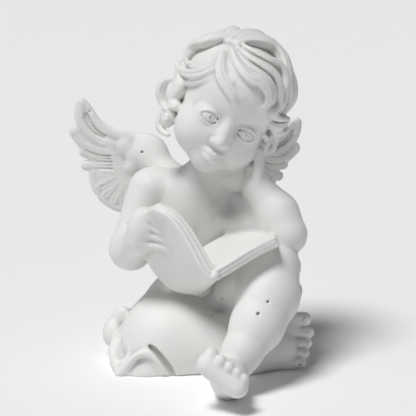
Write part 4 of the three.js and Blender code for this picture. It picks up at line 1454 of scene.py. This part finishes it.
@dataclass(frozen=True)
class Drapery:
    """The cloth that the cherub sits on, bunched at its right side and behind its hips."""

    hem: tuple = (
        (-31.5, -5, 18.6), (-35, -9, 17), (-38.6, -13, 13.8), (-41.4, -17, 11), (-42.4, -21, 8.4),
        (-41.6, -25.5, 4.6), (-38.6, -30, 0.6),
    )
    arch: tuple = (
        (-38.6, -30, 0.6), (-35, -31, 5.2), (-31.8, -31.5, 9), (-28, -31.8, 10.6),
        (-24.6, -32.4, 10), (-21.8, -32.8, 7.4), (-19, -32, 3.6), (-17.6, -30, 0.4),
    )
    valley: tuple = ((-32.5, -15, 19.3), (-36.5, -21, 14), (-39, -27, 9.3))
    crease: tuple = (
        (-26.5, -29.3, 14.6), (-23.6, -31.2, 12.4), (-20.2, -31.9, 8.6), (-16.6, -31.7, 3.6),
        (-15, -31, 0),
    )
    hem_girth: float = 1.7
    arch_girth: float = 1.6
    arch_taper: float = 0.8
    valley_girth: float = 3.2
    bunch: tuple = (
        ((-34.5, -13, 2), (9.5, 17, 14.5)),
        ((-27.5, -24.5, 0), (10.5, 8.6, 10.6)),
        ((-34, -22, 0), (8, 9.5, 9)),
    )
    seat: tuple = (((0, 12, 12), (36, 20, 20)), ((29, 3, 30), (9, 11, 16)))
    left_folds: tuple = (
        (((26, 16, 40), (34, 7, 43), (37.3, -2, 41), (34, -8, 37)), 4.6),
        (((28, 16, 27), (35, 7, 29), (37.4, -2, 29.5), (34, -9, 27)), 5.2),
    )
    knots: tuple = (
        ((-38.4, -3, 20.3), (-40.6, -1.5, 15.5), 2.9, 4),
        ((-38.4, -2, 18), (-33, 4, 15), 3.4, 5),
    )
    bulges: tuple = (((-43, -3, 10.6), (4.6, 6.4, 6.6)), ((-38, 0, 5), (6, 8, 7)))
    back_folds: int = 4
    back_girth: float = 4
    soft_bunch: float = 1.6
    soft_hems: float = 2.2
    soft_folds: float = 2

    def groove(self) -> Cones:
        """Builds the groove between the arch of the cloth and the right leg."""
        return strand(self.crease, lambda t: 0.7 + 1.1 * np.sin(math.pi * t), 12)

    def _side(self) -> Field:
        """Builds the cloth that is bunched at the right side, with its hem and its arch.

        Returns:
            The bunched cloth.
        """
        bunch = Blend(self.soft_bunch, [Lobe(*mass) for mass in self.bunch])
        valley = strand(self.valley, steady(self.valley_girth), 6)
        hem = strand(self.hem, swelling(self.hem_girth, END_SHARE), 16)
        arch = strand(self.arch, lambda t: self.arch_girth - self.arch_taper * t**3, 18)
        return Blend(self.soft_hems, [Hollowed(self.soft_bunch, bunch, [valley]), hem, arch])

    def field(self) -> Field:
        """Builds the bunched cloth, its hems and the folds behind the hips.

        Returns:
            The cloth.
        """
        folds: list[Field] = [
            strand(path, swelling(girth, END_SHARE), 10) for path, girth in self.left_folds
        ]
        folds += [*limbs(self.knots), *(Lobe(*mass) for mass in self.bulges)]
        for i in range(self.back_folds):
            path = [[-38, 8, 4 + 3 * i], [-24, 24 - i, 2 + 5 * i], [2, 32 - 2 * i, 3 + 7 * i]]
            path += [[24, 22 - i, 8 + 8 * i], [33, 6, 12 + 9 * i]]
            folds.append(strand(path, swelling(self.back_girth, END_SHARE), 14))
        seat = [Lobe(*mass) for mass in self.seat]
        return Blend(self.soft_folds, [self._side(), *seat, *folds])


@dataclass(frozen=True)
class Ears:
    """Both ears, mostly under the hair."""

    centre: Place = (22.5, 0, -7)
    radii: Place = (3, 4.5, 6.5)
    softness: float = 1

    def field(self) -> Field:
        """Builds the ears."""
        ears = [HEAD.lobe(*mirrored((self.centre,), side), self.radii) for side in Side]
        return Blend(self.softness, ears)


@dataclass(frozen=True)
class Pinholes:
    """Small holes that air left in the cast: where each one opens, and its radius."""

    holes: tuple = (
        ((-10.4, -7.5, 136.3), 0.85),
        ((-8.6, -14.5, 134.4), 0.65),
        ((-53.4, 22.5, 107.6), 0.7),
        ((-51.3, 23.4, 67.9), 0.75),
        ((-29.7, 14.8, 90.3), 0.65),
        ((25.4, -48.0, 39.0), 0.65),
        ((21.1, -52.0, 34.9), 0.8),
        ((6.2, -15.4, 30.4), 0.5),
        ((2.2, -19.9, 24.0), 0.5),
        ((40.6, -24.9, 2.9), 0.7),
    )
    depth: tuple = (0, 0.7, -0.1)

    def field(self) -> Cones:
        """Builds all the holes as one set of short pits."""
        pits = [limb(place, np.add(place, self.depth), radius) for place, radius in self.holes]
        return Cones.joined(pits)


@dataclass(frozen=True)
class Figure:
    """The whole figure, with the flesh that carries each wing."""

    wing_roots: tuple = (
        (RIGHT_WING.pivot, (-13, 13, 75), 4.6, 8),
        (LEFT_WING.pivot, (0, 13, 73), 4.6, 8),
    )

    def field(self) -> Field:
        """Puts the whole figure together.

        Returns:
            The figure, not yet cut off at the floor.
        """
        legs, arms, cloth = Legs(), Arms(), Drapery()
        flesh = Blend(SOFT.limb, [Trunk().field(), legs.right(), legs.left(), Face().field()])
        flesh = Blend(SOFT.ankle, [flesh, left_foot().field()])
        blades = [RIGHT_WING.field(), LEFT_WING.field()]
        wings = Blend(SOFT.limb, [*blades, *limbs(self.wing_roots)])
        rest = [Ears().field(), Hair().field(), wings, Book().field(), cloth.field()]
        hands = [arms.right(), arms.left()]
        whole = Blend(SOFT.crease, [flesh, *hands, right_foot().field(), *rest])
        return Hollowed(0, Hollowed(SOFT.groove, whole, [cloth.groove()]), [Pinholes().field()])


# Mesh


@dataclass(frozen=True)
class Casting:
    """How finely the casting is drawn, in millimetres, and how its skin is thinned."""

    low: tuple = (-65.2, -86, -2.7)
    high: tuple = (49, 38.5, 150)
    cell: float = 0.45
    block: int = 64
    fine_block: int = 8
    outside: float = 3.0
    slack: float = 1.25
    faces: int = 195_000

    def samples(self, body: Field) -> Array:
        """Measures the field near its surface, and fills the rest with one value.

        Args:
            body: the field of the whole figure.

        Returns:
            A grid of distances.
        """
        spans = (np.array(self.high) - np.array(self.low)) / self.cell / self.block
        counts = np.ceil(spans).astype(int)
        grid = np.full(counts * self.block, self.outside, np.float32)
        corners = np.array(list(np.ndindex(*counts))) * self.block
        self._take(grid, body, corners, self.block)
        return grid

    def _take(self, grid: Array, body: Field, corners: Array, span: int) -> None:
        """Measures the blocks of the grid that the surface can pass, or halves them.

        Args:
            grid: the grid that the values go into.
            body: the field.
            corners: the first cell of each block, one a row.
            span: how many cells each block is long.
        """
        ball = math.sqrt(3) / 2 * span * self.cell
        apart, fields = body.split(np.array(self.low) + (corners + (span - 1) / 2) * self.cell, ball)
        for corner, away, local in zip(corners, apart, fields):
            i, j, k = corner
            if abs(away) > self.slack * ball + 2 * self.cell:
                if away < 0:
                    grid[i : i + span, j : j + span, k : k + span] = -self.outside
            elif span > self.fine_block:
                half = span // 2
                self._take(grid, local, corner + HALVES * half, half)
            else:
                steps = [self.low[n] + (corner[n] + np.arange(span)) * self.cell for n in range(3)]
                points = np.stack(np.meshgrid(*steps, indexing="ij"), axis=-1).reshape(-1, 3)
                values = local.distance(points).reshape(span, span, span)
                grid[i : i + span, j : j + span, k : k + span] = values

    def skin(self, grid: Array) -> tuple[Array, Array]:
        """Draws the zero surface of the grid.

        Args:
            grid: the distances.

        Returns:
            The places of the corners in millimetres, and the four-sided faces.
        """
        volume = vdb.FloatGrid(self.outside)
        volume.copyFromArray(grid)
        corners, triangles, quads = volume.convertToPolygons(isovalue=0.0, adaptivity=0.0)
        LOG.info("skin: %d corners, %d triangles, %d quads", len(corners), len(triangles), len(quads))
        return one_body(np.array(self.low) + corners * self.cell, quads)


FINE = Casting()


def one_body(places: Array, quads: Array) -> tuple[Array, Array]:
    """Keeps the largest body of a skin, and drops specks and sealed bubbles.

    Args:
        places: one corner a row.
        quads: four corners a row.

    Returns:
        The corners and the faces of that body.
    """
    label = np.arange(len(places))
    settled = False
    while not settled:
        before = label.copy()
        lowest = label[quads].min(axis=1)
        for k in range(4):
            np.minimum.at(label, label[quads[:, k]], lowest)
        label = label[label]
        settled = bool((label == before).all())
    kept = label == np.bincount(label).argmax()
    LOG.info("one body: %d of %d corners are kept", kept.sum(), len(places))
    number = np.cumsum(kept) - 1
    return places[kept], number[quads[kept[quads[:, 0]]]]


def mesh_from(name: str, places: Array, quads: Array) -> bpy.types.Object:
    """Makes an object from corners and four-sided faces.

    Args:
        name: the name of the object and its mesh.
        places: one corner a row, in metres.
        quads: four corners a row.

    Returns:
        The object, at the origin.
    """
    mesh = bpy.data.meshes.new(name)
    mesh.vertices.add(len(places))
    mesh.vertices.foreach_set("co", places.astype(np.float32).ravel())
    mesh.loops.add(quads.size)
    mesh.loops.foreach_set("vertex_index", quads.astype(np.int32).ravel())
    mesh.polygons.add(len(quads))
    mesh.polygons.foreach_set("loop_start", np.arange(0, quads.size, 4, dtype=np.int32))
    mesh.update(calc_edges=True)
    made = bpy.data.objects.new(name, mesh)
    bpy.context.scene.collection.objects.link(made)
    return made


def link(tree: bpy.types.NodeTree, source: bpy.types.NodeSocket, target: bpy.types.NodeSocket) -> None:
    """Joins two sockets."""
    tree.links.new(source, target)


@dataclass(frozen=True)
class Plaster:
    """Matte white cast plaster: its colour, its sheen, the shade painted into its grooves and the
    unevenness of its skin.
    """

    colour: tuple = (0.79, 0.79, 0.775, 1)
    # Painted shade: the darker colour that grooves and hollows take in place of their shadow, and how
    # deep and how wide the grooves are found
    painted_shade_colour: tuple = (0.5, 0.5, 0.493, 1)
    painted_shade_depth: float = 0.38
    painted_shade_passes: int = 5
    roughness: float = 0.6
    swell: float = 0.09
    swell_scale: float = 230
    swell_detail: float = 2
    grain: float = 0.00006
    grain_scale: float = 2600
    grain_detail: float = 3
    grain_strength: float = 0.25

    def material(self) -> bpy.types.Material:
        """Builds the shader, with a fine grain in the object's own coordinates and painted shade in the
        grooves.

        Returns:
            The material.
        """
        made = bpy.data.materials.new(SLOT)
        made.use_nodes = True
        tree = made.node_tree
        shader = tree.nodes["Principled BSDF"]
        shader.inputs["Base Color"].default_value = self.colour
        shader.inputs["Roughness"].default_value = self.roughness
        # Painted shade: each corner's groove depth mixes the base colour towards the darker one
        hollow = tree.nodes.new("ShaderNodeAttribute")
        hollow.attribute_name = "hollow"
        mix = tree.nodes.new("ShaderNodeMix")
        mix.data_type = "RGBA"
        mix.inputs["A"].default_value = self.colour
        mix.inputs["B"].default_value = self.painted_shade_colour
        link(tree, hollow.outputs["Fac"], mix.inputs["Factor"])
        link(tree, mix.outputs["Result"], shader.inputs["Base Color"])
        place = tree.nodes.new("ShaderNodeTexCoord")
        noise = tree.nodes.new("ShaderNodeTexNoise")
        noise.inputs["Scale"].default_value = self.grain_scale
        noise.inputs["Detail"].default_value = self.grain_detail
        bump = tree.nodes.new("ShaderNodeBump")
        bump.inputs["Strength"].default_value = self.grain_strength
        bump.inputs["Distance"].default_value = self.grain
        link(tree, place.outputs["Object"], noise.inputs["Vector"])
        link(tree, noise.outputs["Fac"], bump.inputs["Height"])
        link(tree, bump.outputs["Normal"], shader.inputs["Normal"])
        return made

    def tree(self) -> tuple[bpy.types.NodeTree, dict[str, str]]:
        """Builds the tree that swells and dips the skin a little, as a mould leaves it.

        Returns:
            The tree, and the identifier of each named input.
        """
        tree = bpy.data.node_groups.new("cast_skin", "GeometryNodeTree")
        face = tree.interface
        face.new_socket("Geometry", in_out="INPUT", socket_type="NodeSocketGeometry")
        kinds = {"Swell": "NodeSocketFloat", "Scale": "NodeSocketFloat", "Finish": "NodeSocketMaterial"}
        names = {
            name: face.new_socket(name, in_out="INPUT", socket_type=kind).identifier
            for name, kind in kinds.items()
        }
        face.new_socket("Geometry", in_out="OUTPUT", socket_type="NodeSocketGeometry")
        given, out = tree.nodes.new("NodeGroupInput"), tree.nodes.new("NodeGroupOutput")
        noise = tree.nodes.new("ShaderNodeTexNoise")
        noise.inputs["Detail"].default_value = self.swell_detail
        centred = tree.nodes.new("ShaderNodeMath")
        centred.operation = "SUBTRACT"
        centred.inputs[1].default_value = 0.5
        height = tree.nodes.new("ShaderNodeMath")
        height.operation = "MULTIPLY"
        normal = tree.nodes.new("GeometryNodeInputNormal")
        offset = tree.nodes.new("ShaderNodeVectorMath")
        offset.operation = "SCALE"
        move = tree.nodes.new("GeometryNodeSetPosition")
        real = tree.nodes.new("GeometryNodeRealizeInstances")
        dress = tree.nodes.new("GeometryNodeSetMaterial")
        link(tree, given.outputs["Scale"], noise.inputs["Scale"])
        link(tree, noise.outputs["Fac"], centred.inputs[0])
        link(tree, centred.outputs[0], height.inputs[0])
        link(tree, given.outputs["Swell"], height.inputs[1])
        link(tree, normal.outputs[0], offset.inputs[0])
        link(tree, height.outputs[0], offset.inputs["Scale"])
        link(tree, given.outputs["Geometry"], move.inputs["Geometry"])
        link(tree, offset.outputs[0], move.inputs["Offset"])
        link(tree, move.outputs[0], real.inputs[0])
        link(tree, real.outputs[0], dress.inputs["Geometry"])
        link(tree, given.outputs["Finish"], dress.inputs["Material"])
        link(tree, dress.outputs[0], out.inputs[0])
        return tree, names

    def dress(self, piece: bpy.types.Object, faces: int) -> bpy.types.Object:
        """Gives a piece its cast skin, its material and its final number of faces.

        Args:
            piece: the raw casting.
            faces: the most triangles that are kept.

        Returns:
            The dressed piece, as a plain mesh.
        """
        tree, names = self.tree()
        skin = piece.modifiers.new("cast_skin", "NODES")
        skin.node_group = tree
        skin[names["Swell"]] = self.swell * MM
        skin[names["Scale"]] = self.swell_scale
        skin[names["Finish"]] = self.material()
        thin = piece.modifiers.new("thin", "DECIMATE")
        thin.ratio = min(1, faces / (2 * len(piece.data.polygons)))
        seen = piece.evaluated_get(bpy.context.evaluated_depsgraph_get())
        made = bpy.data.meshes.new_from_object(seen)
        piece.modifiers.clear()
        raw = piece.data
        piece.data = made
        made.name = piece.name
        bpy.data.meshes.remove(raw)
        made.polygons.foreach_set("use_smooth", np.ones(len(made.polygons), bool))
        # Marks the grooves that the shader darkens as painted shade
        self.mark_painted_shade(made)
        return piece

    def mark_painted_shade(self, mesh: bpy.types.Mesh) -> None:
        """Stores how deep each corner lies in a groove, where the shader paints shade by darkening the
        plaster.

        Args:
            mesh: the finished mesh, in metres.
        """
        count = len(mesh.vertices)
        places = np.empty(count * 3, np.float32)
        mesh.vertices.foreach_get("co", places)
        normals = np.empty(count * 3, np.float32)
        mesh.vertices.foreach_get("normal", normals)
        edges = np.empty(len(mesh.edges) * 2, np.int32)
        mesh.edges.foreach_get("vertices", edges)
        places, normals = places.reshape(-1, 3).astype(float), normals.reshape(-1, 3)
        edges = edges.reshape(-1, 2)
        ends = np.concatenate([edges[:, 0], edges[:, 1]])
        others = np.concatenate([edges[:, 1], edges[:, 0]])
        shares = 1 / np.maximum(np.bincount(ends, minlength=count), 1)
        even_out = places.copy()
        for _ in range(self.painted_shade_passes):
            sums = [np.bincount(ends, even_out[others, axis], minlength=count) for axis in range(3)]
            even_out = np.stack(sums, axis=1) * shares[:, None]
        depth = ((even_out - places) * normals).sum(axis=1) / (self.painted_shade_depth * MM)
        marked = mesh.attributes.new("hollow", "FLOAT", "POINT")
        marked.data.foreach_set("value", np.clip(depth, 0, 1).astype(np.float32))


@dataclass(frozen=True)
class Cherub:
    """The whole casting, placed on the frame."""

    figure: Figure = Figure()
    plaster: Plaster = Plaster()

    def build(self) -> tuple[bpy.types.Object, Array]:
        """Draws the skin, dresses it and ties it to the frame.

        Returns:
            The casting, and where its middle lay in the sculptor's axes, in millimetres.
        """
        casting = FINE
        places, quads = casting.skin(casting.samples(Standing(self.figure.field())))
        middle = (places.min(0) + places.max(0)) / 2
        places = (places - [middle[0], middle[1], 0]) * MM
        if signed_volume(places, quads) < 0:
            quads = quads[:, ::-1]
        piece = mesh_from(NODE + "_casting", places, quads)
        self.plaster.dress(piece, casting.faces)
        LOG.info("casting: %d faces, middle %s", len(piece.data.polygons), middle)
        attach(piece, "root")
        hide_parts(NODE)
        return piece, middle


def signed_volume(places: Array, quads: Array) -> float:
    """Measures the volume inside the faces, above zero where they face out."""
    a, b, c, d = (places[quads[:, k]] for k in range(4))
    return float((np.cross(a, b) * c).sum() + (np.cross(a, c) * d).sum()) / 6


# Stage


@dataclass(frozen=True)
class Studio:
    """A pale floor, soft lights and the camera, in metres and degrees.

    A light is its azimuth from straight ahead of the cherub to its left, its height over the
    floor, its power on a square metre, and how wide it looks from the casting.
    """

    floor_size: float = 6
    paper: tuple = (0.93, 0.93, 0.93, 1)
    paper_roughness: float = 0.9
    key: tuple = (-45, 67, 2.45, 20)
    fill: tuple = (-60, 10, 0.3, 50)
    sky: tuple = (1, 1, 1, 1)
    sky_strength: float = 0.15
    camera_distance: float = 0.8
    camera_height: float = 14
    aim: tuple = (0.0, 0.0, 0.068)
    lens: float = 155.4
    sensor: float = 36
    farthest: float = 20

    def floor(self) -> bpy.types.Object:
        """Builds the floor.

        Returns:
            The floor.
        """
        h = self.floor_size / 2
        corners = np.array([[-h, -h, 0], [h, -h, 0], [h, h, 0], [-h, h, 0]])
        made = mesh_from("studio_floor", corners, np.array([[0, 1, 2, 3]]))
        paper = bpy.data.materials.new("studio_paper")
        paper.use_nodes = True
        shader = paper.node_tree.nodes["Principled BSDF"]
        shader.inputs["Base Color"].default_value = self.paper
        shader.inputs["Roughness"].default_value = self.paper_roughness
        made.data.materials.append(paper)
        return made

    def sun(self, name: str, azimuth: float, height: float, power: float, spread: float) -> None:
        """Adds a soft, far light.

        Args:
            name: the name of the light.
            azimuth: its direction, in degrees from straight ahead of the cherub to its left.
            height: its height over the floor, in degrees.
            power: the power that falls on a square metre.
            spread: how wide the light looks from the casting, in degrees.
        """
        lamp = bpy.data.lights.new(name, "SUN")
        lamp.energy = power
        lamp.angle = math.radians(spread)
        made = bpy.data.objects.new(name, lamp)
        bpy.context.scene.collection.objects.link(made)
        a, h = math.radians(azimuth), math.radians(height)
        way = Vector((math.sin(a) * math.cos(h), -math.cos(a) * math.cos(h), math.sin(h)))
        made.location = way
        made.rotation_euler = way.to_track_quat("Z", "Y").to_euler()

    def build(self, shift: Array) -> None:
        """Sets up the stage.

        Args:
            shift: how far the casting's own middle lies from the sculptor's origin.
        """
        self.floor()
        self.sun("key", *self.key)
        self.sun("fill", *self.fill)
        world = bpy.data.worlds.new("studio")
        world.use_nodes = True
        sky = world.node_tree.nodes["Background"]
        sky.inputs["Color"].default_value = self.sky
        sky.inputs["Strength"].default_value = self.sky_strength
        scene = bpy.context.scene
        scene.world = world
        scene.view_settings.view_transform = "Standard"
        lens = bpy.data.cameras.new("camera")
        lens.sensor_width = self.sensor
        lens.lens = self.lens
        lens.clip_end = self.farthest
        camera = bpy.data.objects.new("camera", lens)
        scene.collection.objects.link(camera)
        scene.camera = camera
        rise = math.radians(self.camera_height)
        aim = Vector(self.aim) - Vector((shift[0] * MM, shift[1] * MM, 0))
        camera.location = aim + Vector((0, -math.cos(rise), math.sin(rise))) * self.camera_distance
        camera.rotation_euler = (aim - camera.location).to_track_quat("-Z", "Y").to_euler()


def main() -> None:
    """Builds the casting and the stage, and reports each piece."""
    logging.basicConfig(level=logging.INFO, format="%(name)s: %(message)s")
    piece, middle = Cherub().build()
    box = np.array(piece.bound_box)
    LOG.info("%s spans %s to %s", piece.name, box.min(0), box.max(0))
    Studio().build(middle)


if __name__ == "__main__":
    main()
